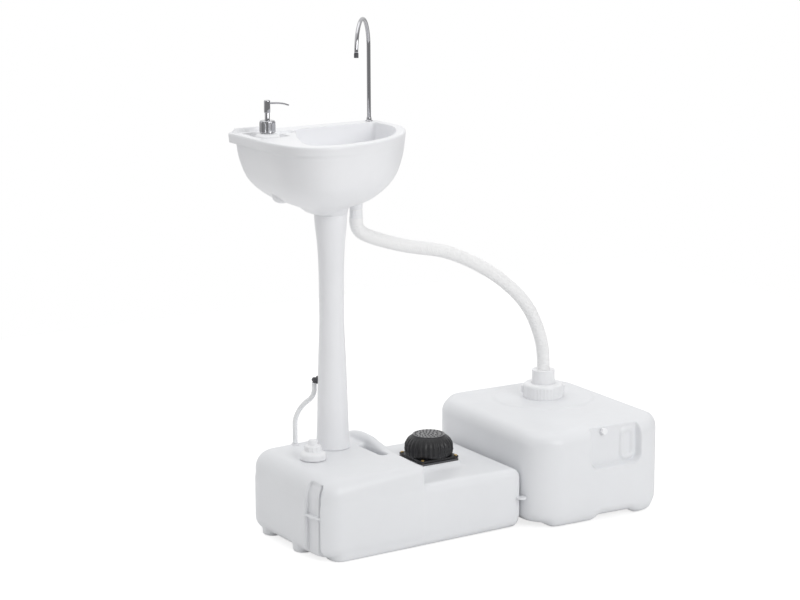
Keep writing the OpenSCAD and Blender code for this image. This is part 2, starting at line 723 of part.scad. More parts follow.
module soap_collar() {
    color("silver") at_soap() difference() {
        union() {
            disc(15, collar_z0, collar_z1);
            for (a = [0:15:345])
                rotate([0, 0, a]) translate([14, 0, collar_z0]) cylinder(r = 1.75, h = collar_z1 - collar_z0 - 1.5, $fn = 24);
        }
        disc(12 + run, collar_z0 - 1, soap_seat + 29 + seat);
        disc(5 + seat, collar_z0 - 1, collar_z1 + 1);
    }
}

module soap_ball() {
    color("silver") at_soap() translate([0, 0, barrel_z0 + 5.6]) sphere(r = 2.4, $fn = 48);
}

stem_bottom = rim_z + 1;
stem_top = rim_z + 45;

module soap_spring() {
    color("silver") at_soap() coil(0, 0, 4.4, 0.5, barrel_z0 + 3 + seat, stem_bottom - seat, 7);
}

module soap_stem() {
    color("silver") at_soap() difference() {
        union() {
            disc(5, stem_bottom, stem_top);
            disc(3, stem_top - 1, stem_top + 12);
        }
        disc(1.6, stem_bottom - 1, stem_top + 14);
    }
}

spout_turn = -31;     // direction of the soap spout seen from above
head_z0 = stem_top + seat;
head_z1 = rim_z + 70;
spout_z = head_z1 - 6;
spout_bend = 25;

module soap_head() {
    color("silver") at_soap() difference() {
        union() {
            disc(6.25, head_z0, head_z1);
            rotate([0, 0, spout_turn]) {
                translate([3, 0, spout_z]) rotate([0, 90, 0])
                    cylinder(r1 = 2.4, r2 = 2, h = spout_bend - 3, $fn = 48);
                translate([spout_bend, 0, spout_z]) sphere(r = 2, $fn = 48);
                translate([spout_bend, 0, spout_z]) rotate([0, 104, 0]) cylinder(r1 = 2, r2 = 1.6, h = 19, $fn = 48);
            }
        }
        disc(3 + seat, head_z0 - 1, stem_top + 12 + seat);
    }
}

module soap_dip_tube() {
    color("white") at_soap() ring(5, 3.6 + seat, well_floor + 9, barrel_z0 - seat);
}

// ---- tap ---------------------------------------------------------------------
tap_dir = 227.5;      // direction that the gooseneck points, seen from above
arch_z = tap_top - tap_tube_r - arch_r;

module at_tap() {
    at_base() translate([tap_x, tap_y, 0]) children();
}

module tap_ferrule() {
    color("silver") at_tap() difference() {
        union() {
            disc(7.6, rim_z + seat, rim_z + 1.8);
            disc(5.2, rim_z + 1.5, rim_z + 7);
            disc(6, rim_z - 15, rim_z + 1);
        }
        disc(tap_tube_r + seat, rim_z - 16, rim_z + 8);
    }
}

module tap_nut() {
    color("silver") at_tap() difference() {
        translate([0, 0, rim_z - 12]) cylinder(r = 9.5, h = 6, $fn = 6);
        disc(6 + seat, rim_z - 13, rim_z - 5);
    }
}

module tap_spout() {
    color("silver") at_tap() difference() {
        union() {
            disc(tap_tube_r, tail_z, arch_z);
            rotate([0, 0, tap_dir]) translate([arch_r, 0, arch_z]) rotate([90, 0, 0])
                rotate_extrude(angle = 180, $fn = 96) translate([arch_r, 0]) circle(r = tap_tube_r, $fn = 32);
            // collar that carries the tube on the ferrule
            disc(4.8, rim_z + 7 + seat, rim_z + 9);
        }
        disc(2.6, tail_z - 1, arch_z - 10);
    }
}

module tap_nozzle() {
    color("dimgray") at_tap() rotate([0, 0, tap_dir]) translate([2 * arch_r, 0, 0]) difference() {
        union() {
            disc(4.6, arch_z - 9, arch_z - seat);
        }
        disc(2.4, arch_z - 10, arch_z - 3);
    }
}

module tube_coupling() {
    color("gray") at_tap() ring(7, tap_tube_r + seat, coupling_z0, coupling_z1);
}

// ---- drain and hose ------------------------------------------------------------
strain_z = rim_z - 139.5;

module at_drain() {
    at_base() translate([drain_x, drain_y, 0]) children();
}

module drain_strainer() {
    color("silver") at_drain() difference() {
        union() {
            disc(20, strain_z + seat, strain_z + 2.5);
            disc(tail_r, neck_z - 14 + seat, strain_z + 1);
        }
        disc(tail_r - 2, neck_z - 15, strain_z - 2);
        for (a = [0:60:300])
            rotate([0, 0, a]) translate([5.5, 0, strain_z - 4]) cylinder(r = 2, h = 10, $fn = 24);
    }
}

module drain_washer() {
    color("white") at_drain() ring(tail_r + 3, tail_r + seat, neck_z, neck_z + 2 - seat);
}

module drain_nut() {
    color("white") at_drain() difference() {
        union() {
            ring(tail_r + 3, tail_r + seat, neck_z - 8, neck_z - seat);
            for (a = [0:30:330])
                rotate([0, 0, a]) translate([tail_r + 2.6, 0, neck_z - 7.5]) cylinder(r = 0.8, h = 7, $fn = 20);
        }
        disc(tail_r + seat, neck_z - 9, neck_z + 1);
    }
}

hose_top = neck_z - 16;
barb_r = 10.4;
barb_z = hose_top - 8;

module hose_cuff() {
    color("white") at_drain() union() {
        ring(tail_r + 3.4, tail_r + seat, hose_top + 1.5, neck_z - 8 - seat);
        ring(tail_r + 3.4, tail_r - 2, hose_top + seat, hose_top + 2);
        ring(barb_r, tail_r - 2, barb_z, hose_top + 1);
    }
}

cap_x = 33;           // waste cap, from the waste tank's centre
cap_y = 66;
cap_at = [waste_x + cap_x * cos(waste_turn) + cap_y * sin(waste_turn),
    cap_y * cos(waste_turn) - cap_x * sin(waste_turn)];
drain_at = [base_x + drain_x, base_y + drain_y];
hose_bottom = waste_h + 40;
// the hose, as its share of the way to the cap and its share of the height
hose_way = [[0, 1], [0, 0.968], [0.008, 0.94], [0.03, 0.915], [0.075, 0.89], [0.12, 0.871], [0.172, 0.851],
    [0.225, 0.832], [0.3, 0.81], [0.43, 0.781], [0.53, 0.739], [0.65, 0.669], [0.76, 0.586], [0.86, 0.486],
    [0.925, 0.391], [0.965, 0.293], [0.995, 0.187], [1, 0.083], [1, 0]];
hose_path = cut_open([for (q = hose_way)
    [drain_at[0] + q[0] * (cap_at[0] - drain_at[0]), drain_at[1] + q[0] * (cap_at[1] - drain_at[1]),
     hose_bottom + seat + q[1] * (hose_top - hose_bottom - seat)]]);

module drain_hose() {
    color("white") difference() {
        sweep(hose_path, hose_r, 12, [0, 1, 0]);
        at_drain() disc(barb_r + seat, barb_z - seat, hose_top + 1);
    }
}

module at_cap() {
    at_waste() translate([cap_x, cap_y, 0]) children();
}

waste_neck_r = 36;
waste_neck_top = waste_h + 22;
flange_z = waste_neck_top + 2 + seat;

module waste_gasket() {
    color("dimgray") at_cap() ring(waste_neck_r, 31.5, waste_neck_top + seat, waste_neck_top + 2);
}

module hose_connector() {
    color("white") at_cap() difference() {
        union() {
            disc(waste_neck_r, flange_z, flange_z + 3);
            disc(24.5, flange_z + 2, waste_h + 62);
            disc(14, waste_h + 8, flange_z + 1);
        }
        disc(hose_r + seat, hose_bottom, waste_h + 63);
        disc(11.5, waste_h + 6, hose_bottom + 1);
    }
}

module waste_cap() {
    color("white") at_cap() difference() {
        union() {
            disc(42.8, waste_h + 2, waste_h + 28);
            translate([0, 0, waste_h + 28]) cylinder(r1 = 42.8, r2 = 40.5, h = 3, $fn = 96);
            for (a = [0:10:350])
                rotate([0, 0, a]) translate([42.6, 0, waste_h + 3]) cylinder(r = 1.1, h = 24, $fn = 16);
            // the two finger lugs
            for (a = [150, 330])
                rotate([0, 0, a]) translate([38, -6, waste_h + 12]) cube([9, 12, 16]);
        }
        disc(waste_neck_r + 0.4, waste_h + 1, waste_h + 9);
        disc(waste_neck_r + 3.9, waste_h + 7.5, flange_z + 3 + run);
        disc(24.5 + 0.4, waste_h + 20, waste_h + 40);
        // ways in for the neck's lugs
        for (a = [60, 240])
            rotate([0, 0, a]) translate([waste_neck_r - 6, -12, waste_h + 1]) cube([9, 24, 10]);
    }
}

// ---- waste tank ------------------------------------------------------------------
wl = waste_w / 2;
wd = waste_d / 2;
waste_foot = 9;
recess_x0 = -27;
recess_x1 = 92;
recess_z = 115;
recess_d = 13;
vent_x = 7;
vent_z = 188;
ridge = 4.5;          // height of the U-shaped grip over the recess

module waste_body(t) {
    soft_block(-wl + t, wl - t, -wd + t, wd - t, waste_foot + t, waste_h - t,
        [70 - t, 70 - t, 70 - t, 70 - t], [28 - t, 28 - t, 28 - t, 28 - t],
        [22 - t, 22 - t, 22 - t, 22 - t]);
}

// A soft-edged block that stands out from the recess floor by d.
module pressed(x0, x1, z0, z1, d, r, foot) {
    translate([0, -wd + recess_d, 0]) rotate([90, 0, 0]) soft_block(x0, x1, z0, z1, 0, d, [r, r, r, r],
        [0.5, 0.5, 0.5, 0.5], [foot, foot, foot, foot]);
}

module waste_foot_block(x0, x1, y0, y1) {
    soft_block(x0, x1, y0, y1, 0, 24, [14, 14, 14, 14], [1, 1, 1, 1], [5, 5, 5, 5]);
}

module waste_tank() {
    color("whitesmoke") at_waste() difference() {
        union() {
            waste_body(0);
            waste_foot_block(-118, -14, -wd + 10, -wd + 60);
            waste_foot_block(80, 130, -wd + 10, -wd + 60);
            waste_foot_block(-118, -40, wd - 60, wd - 10);
            waste_foot_block(60, 130, wd - 60, wd - 10);
            translate([cap_x, cap_y, 0]) {
                disc(108, waste_h - 10, waste_h + 1.5);
                disc(waste_neck_r, waste_h - 2, waste_neck_top);
                for (a = [150, 330])
                    rotate([0, 0, a]) translate([waste_neck_r - 3, -8, waste_h + 10]) cube([5.6, 16, 4]);
            }
        }
        difference() {
            waste_body(wall);
            translate([recess_x0 - wall, -wd - 1, recess_z - wall])
                cube([recess_x1 - recess_x0 + 2 * wall, recess_d + 1 + wall, waste_h]);
            translate([vent_x, -wd + recess_d, vent_z]) rotate([-90, 0, 0]) cylinder(r = 7, h = 10, $fn = 48);
        }
        translate([cap_x, cap_y, 0]) disc(31.5, waste_h - 20, waste_h + 40);
        // recess at the front with the U-shaped grip left standing
        difference() {
            pressed(recess_x0, recess_x1, recess_z, 250, recess_d + 1, 14, 5);
            pressed(52, 86, 122, 186, ridge, 12, 1);
        }
        pressed(61, 77, 131, 177, recess_d + 1, 7, 1);
        translate([vent_x, -wd + recess_d - 1, vent_z]) rotate([-90, 0, 0]) cylinder(r = 3.5, h = 20, $fn = 48);
    }
}

module vent_plug() {
    color("white") at_waste() translate([vent_x, -wd + recess_d, vent_z]) rotate([90, 0, 0]) {
        translate([0, 0, seat]) cylinder(r = 6.5, h = 7, $fn = 64);
        translate([0, 0, -9]) cylinder(r = 3.5 - seat, h = 10, $fn = 48);
        for (a = [0:45:315])
            rotate([0, 0, a]) translate([6.3, 0, 1]) cylinder(r = 0.9, h = 5, $fn = 16);
    }
}

base_tank();
fill_gasket();
fill_cap();
tube_gland();
pump_gasket();
pump_housing();
inlet_valve();
outlet_valve();
pump_spring();
pump_dome();
pump_tread();
pump_plate();
pump_screws();
suction_tube();
suction_filter();
delivery_tube();
column();
column_fitting();
water_tube();
riser_tube();
basin();
soap_bottle();
soap_barrel();
soap_collar();
soap_ball();
soap_spring();
soap_stem();
soap_head();
soap_dip_tube();
tap_ferrule();
tap_nut();
tap_spout();
tap_nozzle();
tube_coupling();
drain_strainer();
drain_washer();
drain_nut();
hose_cuff();
drain_hose();
hose_connector();
waste_cap();
waste_gasket();
waste_tank();
vent_plug();
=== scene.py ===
# %% [markdown]
# # A portable camp wash stand
# The stand is a fresh-water tank with a foot pump, a waisted column, a basin with
# a gooseneck tap and a soap pump, and a second tank that a corrugated hose fills.
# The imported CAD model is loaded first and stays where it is. Small hard pieces keep
# their CAD mesh and get a finish; the soft-edged mouldings, the caps, the hose and the
# thin tube, the bellows, the springs and the chromed pieces are worked out here with
# numpy and stand in for theirs.

# %% Load the frame
import json
import math

import bpy
import numpy as np
from mathutils import Matrix


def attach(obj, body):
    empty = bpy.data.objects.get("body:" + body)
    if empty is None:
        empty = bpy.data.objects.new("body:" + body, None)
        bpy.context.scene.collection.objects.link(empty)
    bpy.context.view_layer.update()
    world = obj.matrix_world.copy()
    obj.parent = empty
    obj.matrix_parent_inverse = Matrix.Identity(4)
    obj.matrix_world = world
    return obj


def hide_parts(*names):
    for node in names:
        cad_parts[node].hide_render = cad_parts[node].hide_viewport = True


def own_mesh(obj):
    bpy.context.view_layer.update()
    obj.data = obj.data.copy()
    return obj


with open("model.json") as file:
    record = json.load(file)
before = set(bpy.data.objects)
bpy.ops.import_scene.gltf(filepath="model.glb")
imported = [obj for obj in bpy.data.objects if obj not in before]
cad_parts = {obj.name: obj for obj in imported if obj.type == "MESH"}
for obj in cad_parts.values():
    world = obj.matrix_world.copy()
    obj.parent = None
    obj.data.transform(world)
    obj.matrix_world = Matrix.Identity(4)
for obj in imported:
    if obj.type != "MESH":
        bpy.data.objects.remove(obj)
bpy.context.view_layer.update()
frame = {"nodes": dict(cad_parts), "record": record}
nodes = frame["nodes"]

# %% [markdown]
# ## The camera
# The photograph was taken from the front left, a little above the pump, with a long
# lens. The numbers come from fitting straight edges of both tanks and the rim.

# %% Camera
AZIMUTH, ELEVATION, ROLL = (math.radians(v) for v in (-31.847, 12.189, -0.234))
EYE = (-2.607, -4.003, 1.488)
FOCAL_PX, WIDTH_PX, SENSOR = 2395.138, 800, 36.0


def camera_axes():
    """Right, up and back of a camera that looks at azimuth and elevation, then rolls."""
    ca, sa, ce, se = math.cos(AZIMUTH), math.sin(AZIMUTH), math.cos(ELEVATION), math.sin(ELEVATION)
    back = np.array([sa * ce, -ca * ce, se])
    right = np.array([ca, sa, 0.0])
    up = np.cross(back, right)
    c, s = math.cos(ROLL), math.sin(ROLL)
    return right * c + up * s, up * c - right * s, back


cam_data = bpy.data.cameras.new("camera")
cam_data.sensor_fit = "HORIZONTAL"
cam_data.sensor_width = SENSOR
cam_data.lens = FOCAL_PX * SENSOR / WIDTH_PX
cam_data.clip_end = 60
camera = bpy.data.objects.new("camera", cam_data)
bpy.context.collection.objects.link(camera)
turn = np.eye(4)
turn[:3, 0], turn[:3, 1], turn[:3, 2] = camera_axes()
turn[:3, 3] = EYE
camera.matrix_world = Matrix(turn.tolist())
bpy.context.scene.camera = camera
print("lens", round(cam_data.lens, 1), "mm")

# %% [markdown]
# ## From grids of points to meshes
# Every new surface is a grid: rows run along the piece, columns run round it. One
# helper turns a grid into a mesh with quads, and closes the ends with a point.

# %% Grid helpers
MM = 0.001
BASE_AT = np.array([-396.07, -155.0, 0.0])


def join_grid(rows, cols):
    """Quads of a grid of rows x cols points whose last column joins its first."""
    i, k = np.meshgrid(np.arange(rows - 1), np.arange(cols), indexing="ij")
    a, b = i * cols + k, i * cols + (k + 1) % cols
    return np.stack([a, b, b + cols, a + cols], -1).reshape(-1, 4)


def mesh_piece(name, points, faces, smooth=True):
    """An object at the origin from points in metres and lists of corner numbers."""
    mesh = bpy.data.meshes.new(name)
    mesh.from_pydata(np.asarray(points).tolist(), [], faces)
    mesh.polygons.foreach_set("use_smooth", np.full(len(mesh.polygons), smooth))
    mesh.update()
    piece = bpy.data.objects.new(name, mesh)
    bpy.context.collection.objects.link(piece)
    return piece


def skin(name, grid, low=True, high=True):
    """A closed surface over grid[row, column] in mm, with a point over each end."""
    grid = np.asarray(grid, float)
    rows, cols = grid.shape[:2]
    faces = join_grid(rows, cols).tolist()
    points = [grid.reshape(-1, 3)]
    ring = np.arange(cols)
    if low:
        points.append(grid[0].mean(0)[None])
        faces += np.stack([np.roll(ring, -1), ring, np.full(cols, rows * cols)], -1).tolist()
    if high:
        tip = rows * cols + int(low)
        points.append(grid[-1].mean(0)[None])
        last = (rows - 1) * cols + ring
        faces += np.stack([last, np.roll(last, -1), np.full(cols, tip)], -1).tolist()
    return mesh_piece(name, np.concatenate(points) * MM, faces)


def smooth_curve(x, xs, ys):
    """A curve through (xs, ys) that never overshoots: cubic pieces whose slope at each
    point is the harmonic mean of the slopes on its two sides, or 0 at a turn."""
    x, xs, ys = (np.asarray(v, float) for v in (x, xs, ys))
    step, rise = np.diff(xs), np.diff(ys)
    slope = rise / step
    same = slope[:-1] * slope[1:] > 0
    both = np.where(same, slope[:-1] + slope[1:], 1)
    inner = np.where(same, 2 * slope[:-1] * slope[1:] / both, 0)
    m = np.concatenate([slope[:1], inner, slope[-1:]])
    i = np.clip(np.searchsorted(xs, x) - 1, 0, len(step) - 1)
    t = (x - xs[i]) / step[i]
    return (ys[i] * (1 + 2 * t) * (1 - t) ** 2 + m[i] * step[i] * t * (1 - t) ** 2
            + ys[i + 1] * t * t * (3 - 2 * t) + m[i + 1] * step[i] * t * t * (t - 1))


def step_up(x, low, high):
    """0 below low, 1 above high, and a smooth s-curve between."""
    t = np.clip((x - low) / (high - low), 0, 1)
    return t * t * (3 - 2 * t)


def pad_mask(x, y, x0, x1, y0, y1, soft):
    """1 inside a rectangle and 0 outside it, with edges soft millimetres wide."""
    half = soft / 2
    return (step_up(x, x0 - half, x0 + half) * step_up(-x, -x1 - half, -x1 + half)
            * step_up(y, y0 - half, y0 + half) * step_up(-y, -y1 - half, -y1 + half))


def lathe(name, profile, at=(0, 0), cols=96, low=True, high=True, dent=None):
    """Turns a profile of (height, radius) rows round an upright axis at a place in mm.
    dent(angle, height) adds to the radius where ribs or flutes are wanted."""
    profile = np.asarray(profile, float)
    angle = np.linspace(0, 2 * math.pi, cols, endpoint=False)[None]
    z, r = profile[:, :1], profile[:, 1:2]
    if dent is not None:
        r = r + dent(angle, z)
    grid = np.stack([at[0] + r * np.cos(angle), at[1] + r * np.sin(angle), z + 0 * angle], -1)
    return skin(name, grid, low, high)


def fine(profile, count):
    """The same profile of (height, radius), resampled by length into count rows."""
    p = np.asarray(profile, float)
    along = np.concatenate([[0], np.cumsum(np.hypot(*np.diff(p, axis=0).T))])
    t = np.linspace(0, along[-1], count)
    return np.stack([np.interp(t, along, p[:, 0]), np.interp(t, along, p[:, 1])], -1)


def relaxed(piece, factor, passes):
    """Softens a mesh: each pass moves every corner by factor towards its neighbours."""
    relax = piece.modifiers.new("smooth", "SMOOTH")
    relax.factor, relax.iterations = factor, passes
    bpy.context.view_layer.update()
    graph = bpy.context.evaluated_depsgraph_get()
    done = bpy.data.meshes.new_from_object(piece.evaluated_get(graph))
    piece.modifiers.clear()
    piece.data = done
    done.polygons.foreach_set("use_smooth", np.ones(len(done.polygons), bool))
    return piece


def joined(name, pieces):
    """One object from several, with the first one's place."""
    points, faces, start = [], [], 0
    for p in pieces:
        co = np.empty(len(p.data.vertices) * 3)
        p.data.vertices.foreach_get("co", co)
        points.append(co.reshape(-1, 3))
        faces += [[v + start for v in f.vertices] for f in p.data.polygons]
        start += len(p.data.vertices)
        bpy.data.objects.remove(p)
    return mesh_piece(name, np.concatenate(points), faces)


def local(x, y):
    """A place on the base tank, from its front left corner, as a place in the frame."""
    return x + BASE_AT[0], y + BASE_AT[1]


# %% Where the upright pieces stand, in mm from the base tank's front left corner
COLUMN, DRAIN, FILL, PUMP, SOAP, TAP = (154, 220), (216, 225), (74, 162), (331, 135), (30, 250), (304, 318)
COLUMN_AT, DRAIN_AT, FILL_AT, PUMP_AT, SOAP_AT, TAP_AT = (local(*v) for v in (COLUMN, DRAIN, FILL, PUMP, SOAP, TAP))

# %% [markdown]
# ## Finishes
# The tanks are blow-moulded polyethylene: white, waxy, with a very fine grain and faint
# waves where the wall cooled. Column, basin and caps are smoother and a little
# brighter, and the pump is matt black rubber. Each finish is a small node tree on
# Object coordinates, so nothing slides when a piece moves.

# %% Materials
def finish_tree(name, colour, rough, metallic=0.0, spec=0.5, coat=0.0):
    """A Principled shader with plain numbers on its own sockets."""
    mat = bpy.data.materials.new(name)
    mat.use_nodes = True
    shader = mat.node_tree.nodes["Principled BSDF"]
    shader.inputs["Base Color"].default_value = (*colour, 1)
    shader.inputs["Roughness"].default_value = rough
    shader.inputs["Metallic"].default_value = metallic
    shader.inputs["Specular IOR Level"].default_value = spec
    shader.inputs["Coat Weight"].default_value = coat
    mat.diffuse_color = (*colour, 1)
    return mat, shader


def noise(mat, scale, detail=3.0, rough=0.5):
    """A noise texture on Object coordinates, scale in waves a metre."""
    tree = mat.node_tree
    coords = tree.nodes.get("coords") or tree.nodes.new("ShaderNodeTexCoord")
    coords.name = "coords"
    tex = tree.nodes.new("ShaderNodeTexNoise")
    tex.inputs["Scale"].default_value = scale
    tex.inputs["Detail"].default_value = detail
    tex.inputs["Roughness"].default_value = rough
    tree.links.new(coords.outputs["Object"], tex.inputs["Vector"])
    return tex


def vary(mat, shader, socket, tex, low, high):
    """Drives a socket between two values, or two colours, by a noise."""
    tree = mat.node_tree
    ramp = tree.nodes.new("ShaderNodeValToRGB")
    ramp.color_ramp.elements[0].position, ramp.color_ramp.elements[1].position = 0.3, 0.7
    for element, value in zip(ramp.color_ramp.elements, (low, high)):
        element.color = (*value, 1) if hasattr(value, "__len__") else (value, value, value, 1)
    tree.links.new(tex.outputs["Fac"], ramp.inputs["Fac"])
    tree.links.new(ramp.outputs["Color"], shader.inputs[socket])


def bumps(mat, shader, layers):
    """Stacks bump layers, each a (noise texture, depth in metres)."""
    tree = mat.node_tree
    before = None
    for tex, depth in layers:
        bump = tree.nodes.new("ShaderNodeBump")
        bump.inputs["Strength"].default_value = 1.0
        bump.inputs["Distance"].default_value = depth
        tree.links.new(tex.outputs["Fac"], bump.inputs["Height"])
        if before:
            tree.links.new(before.outputs["Normal"], bump.inputs["Normal"])
        before = bump
    tree.links.new(before.outputs["Normal"], shader.inputs["Normal"])


def moulded(name, colour, rough, grain, wave, shade=0.03):
    """Moulded plastic: a slightly uneven colour, a fine grain and slow waves, both in m."""
    mat, shader = finish_tree(name, colour, rough)
    dark = tuple(c * (1 - shade) for c in colour)
    vary(mat, shader, "Base Color", noise(mat, 9, 4), dark, colour)
    vary(mat, shader, "Roughness", noise(mat, 60, 3), rough * 0.9, rough * 1.1)
    bumps(mat, shader, [(noise(mat, 14, 2), wave), (noise(mat, 900, 2, 0.6), grain)])
    return mat


TANK = moulded("tank_plastic", (0.80, 0.81, 0.83), 0.36, 0.00006, 0.0010)
BASIN = moulded("basin_plastic", (0.90, 0.905, 0.925), 0.34, 0.00004, 0.0006)
CAP = moulded("cap_plastic", (0.90, 0.905, 0.92), 0.34, 0.00003, 0.0001)
HOSE = moulded("hose_plastic", (0.93, 0.93, 0.932), 0.40, 0.00003, 0.0002)
GREY = moulded("grey_plastic", (0.10, 0.10, 0.11), 0.40, 0.00003, 0.0001, 0.15)
SEAL = moulded("seal_rubber", (0.05, 0.05, 0.052), 0.62, 0.00005, 0.0001, 0.2)
RUBBER = moulded("pump_rubber", (0.013, 0.013, 0.015), 0.42, 0.00008, 0.0003, 0.3)
# The tread is the same black rubber as the bellows. Its light grey is painted sheen that stands for the highlights
# on its studded top.
TREAD_PAINTED_SHEEN = moulded("tread_rubber_painted_sheen", (0.15, 0.15, 0.155), 0.25, 0.00012, 0.0002, 0.5)


def metal(name, colour, rough, streak):
    """Bright metal: roughness that wanders a little and a fine even bump."""
    mat, shader = finish_tree(name, colour, rough, metallic=1.0)
    vary(mat, shader, "Roughness", noise(mat, 120, 3), rough * 0.8, rough * 1.3)
    bumps(mat, shader, [(noise(mat, 700, 2), streak)])
    return mat


CHROME = metal("chrome", (0.50, 0.50, 0.52), 0.06, 0.000003)
STEEL = metal("steel", (0.55, 0.55, 0.56), 0.28, 0.00002)
BRASS = metal("brass", (0.72, 0.52, 0.22), 0.25, 0.00001)


def milky(name, colour, rough):
    """Soft milky tube: light goes a little way in and spreads."""
    mat, shader = finish_tree(name, colour, rough)
    shader.inputs["Subsurface Weight"].default_value = 0.4
    shader.inputs["Subsurface Radius"].default_value = (0.003, 0.003, 0.003)
    vary(mat, shader, "Roughness", noise(mat, 80, 3), rough * 0.85, rough * 1.2)
    bumps(mat, shader, [(noise(mat, 260, 2), 0.00004)])
    return mat


TUBE = milky("clear_tube", (0.86, 0.87, 0.88), 0.25)

BY_SLOT = {"tank_plastic": TANK, "cap_plastic": CAP, "pump_rubber": RUBBER, "seal_rubber": SEAL,
           "grey_plastic": GREY, "clear_tube": TUBE, "hose_plastic": HOSE, "chrome": CHROME,
           "steel": STEEL, "brass": BRASS}
for part in frame["record"]["subparts"]:
    cad = nodes[part["node"]]
    cad.data.materials.clear()
    cad.data.materials.append(BY_SLOT[part["material_slot"]])
print("finishes:", sorted(BY_SLOT))


def placed(piece, mat, body="stand", replaces=()):
    """Gives a new piece its finish, its body and the CAD nodes it stands for."""
    piece.data.materials.clear()
    piece.data.materials.append(mat)
    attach(piece, body)
    if replaces:
        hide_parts(*replaces)
    print(piece.name, len(piece.data.polygons), "faces")
    return piece


# %% [markdown]
# ## The drain hose
# A corrugated hose drops from the basin, runs out nearly level and comes down into the
# cap of the waste tank. Its centre line is the CAD route; the corrugation is a wave on
# the radius, one crest every few millimetres, left plain at both ends.

# %% Hose route
WASTE_AT, WASTE_TURN = np.array([245.5, 0.0]), math.radians(1.5)


def on_waste(x, y):
    """A place on the waste tank, from its centre, as a place in the frame."""
    c, s = math.cos(WASTE_TURN), math.sin(WASTE_TURN)
    return WASTE_AT[0] + x * c + y * s, WASTE_AT[1] + y * c - x * s


CAP_SPOT = (33.0, 66.0)
CAP_AT = np.array(on_waste(*CAP_SPOT))
HOSE_TOP, HOSE_LOW = 634.0, 238.05
# Points listed: share of the way to the cap, and share of the height.
HOSE_WAY = np.array([[0, 1], [0, 0.968], [0.008, 0.94], [0.03, 0.915], [0.075, 0.89], [0.12, 0.871],
                     [0.172, 0.851], [0.225, 0.832], [0.3, 0.81], [0.43, 0.781], [0.53, 0.739],
                     [0.65, 0.669], [0.76, 0.586], [0.86, 0.486], [0.925, 0.391], [0.965, 0.293],
                     [0.995, 0.187], [1, 0.083], [1, 0]])


def cut_corners(p, times):
    """Each pass replaces a corner of an open line by two points on its edges."""
    for _ in range(times):
        a, b = p[:-1], p[1:]
        mid = np.stack([0.75 * a + 0.25 * b, 0.25 * a + 0.75 * b], 1).reshape(-1, p.shape[1])
        p = np.concatenate([p[:1], mid, p[-1:]])
    return p


def even(p, step):
    """Points along a line at equal steps of its length, in mm."""
    along = np.concatenate([[0], np.cumsum(np.linalg.norm(np.diff(p, axis=0), axis=1))])
    t = np.linspace(0, along[-1], int(round(along[-1] / step)) + 1)
    return np.stack([np.interp(t, along, p[:, i]) for i in range(3)], -1), t, along[-1]


def tube_grid(line, radius, cols, ref):
    """Circles of the given radii across a line: centre + r(cos a u + sin a v), where u
    and v are the two directions square to the line, and ref fixes where a starts."""
    way = np.gradient(line, axis=0)
    way /= np.linalg.norm(way, axis=1)[:, None]
    u = np.cross(way, ref)
    u /= np.linalg.norm(u, axis=1)[:, None]
    v = np.cross(way, u)
    a = np.linspace(0, 2 * math.pi, cols, endpoint=False)
    r = np.broadcast_to(radius, (len(line),))[:, None, None]
    across, along = np.cos(a)[None, :, None] * u[:, None], np.sin(a)[None, :, None] * v[:, None]
    return line[:, None] + r * (across + along)


out_to_cap = np.array(DRAIN_AT) + HOSE_WAY[:, :1] * (CAP_AT - np.array(DRAIN_AT))
down_to_cap = HOSE_LOW + HOSE_WAY[:, 1] * (HOSE_TOP - HOSE_LOW)
hose_line = cut_corners(np.column_stack([out_to_cap, down_to_cap]), 3)
hose_line, hose_along, hose_length = even(hose_line, 0.9)
print("drain hose", round(hose_length), "mm")

# %% Corrugated hose
HOSE_R, HOSE_PITCH, HOSE_DEEP = 13.9, 4.5, 0.7
crests = 0.5 + 0.5 * np.cos(2 * math.pi * hose_along / HOSE_PITCH)
# Plain at both ends: no wave up to the first length from an end, all of it from the second.
PLAIN_TOP, PLAIN_LOW = (8, 14), (16, 22)
waved = step_up(hose_along, *PLAIN_TOP) * step_up(hose_length - hose_along, *PLAIN_LOW)
hose_r = HOSE_R - HOSE_DEEP * waved * (1 - crests ** 1.5)
hose = skin("drain_hose_skin", tube_grid(hose_line, hose_r, 36, (0, 1, 0)))
placed(hose, HOSE, "stand", ["drain_hose"])

# %% Thin water tube
TUBE_R, FIT_OUT, FIT_TURN = 4.9, 38, math.radians(136)
FIT = (COLUMN[0] + FIT_OUT * math.cos(FIT_TURN), COLUMN[1] + FIT_OUT * math.sin(FIT_TURN))
TUBE_WAY = np.array([[98, 277, 170.05], [98, 277, 196], [99, 278, 224], [111, 270, 250],
                     [*FIT, 272], [*FIT, 300]]) + BASE_AT
tube_line, _, tube_length = even(cut_corners(TUBE_WAY, 3), 3)
tube = skin("water_tube_skin", tube_grid(tube_line, TUBE_R, 24, (0.69, 0.72, 0)))
placed(tube, TUBE, "stand", ["water_tube"])
print("water tube", round(tube_length), "mm")

# %% [markdown]
# ## The base tank
# A blow-moulded tank has no sharp edge anywhere: the hot tube is blown against the
# mould and every corner comes out round, inside corners too. Shapes kept as distances
# give just that: each function says how far a point of a grid is from a surface, below
# 0 inside. Two shapes melt together with a soft minimum, a soft cut takes one out of
# the other, and at the end a net is laid over the level 0.

# %% Distances to rounded shapes
def pill(x, y, x0, x1, y0, y1, r):
    """Distance to a rectangle with a radius per corner (front left, front right, back
    right, back left): the length of the part of |p - middle| - half + r above 0, less r."""
    mx, my = (x0 + x1) / 2, (y0 + y1) / 2
    r = np.where(x < mx, np.where(y < my, r[0], r[3]), np.where(y < my, r[1], r[2]))
    dx, dy = np.abs(x - mx) - (x1 - x0) / 2 + r, np.abs(y - my) - (y1 - y0) / 2 + r
    return np.minimum(np.maximum(dx, dy), 0) + np.hypot(np.maximum(dx, 0), np.maximum(dy, 0)) - r


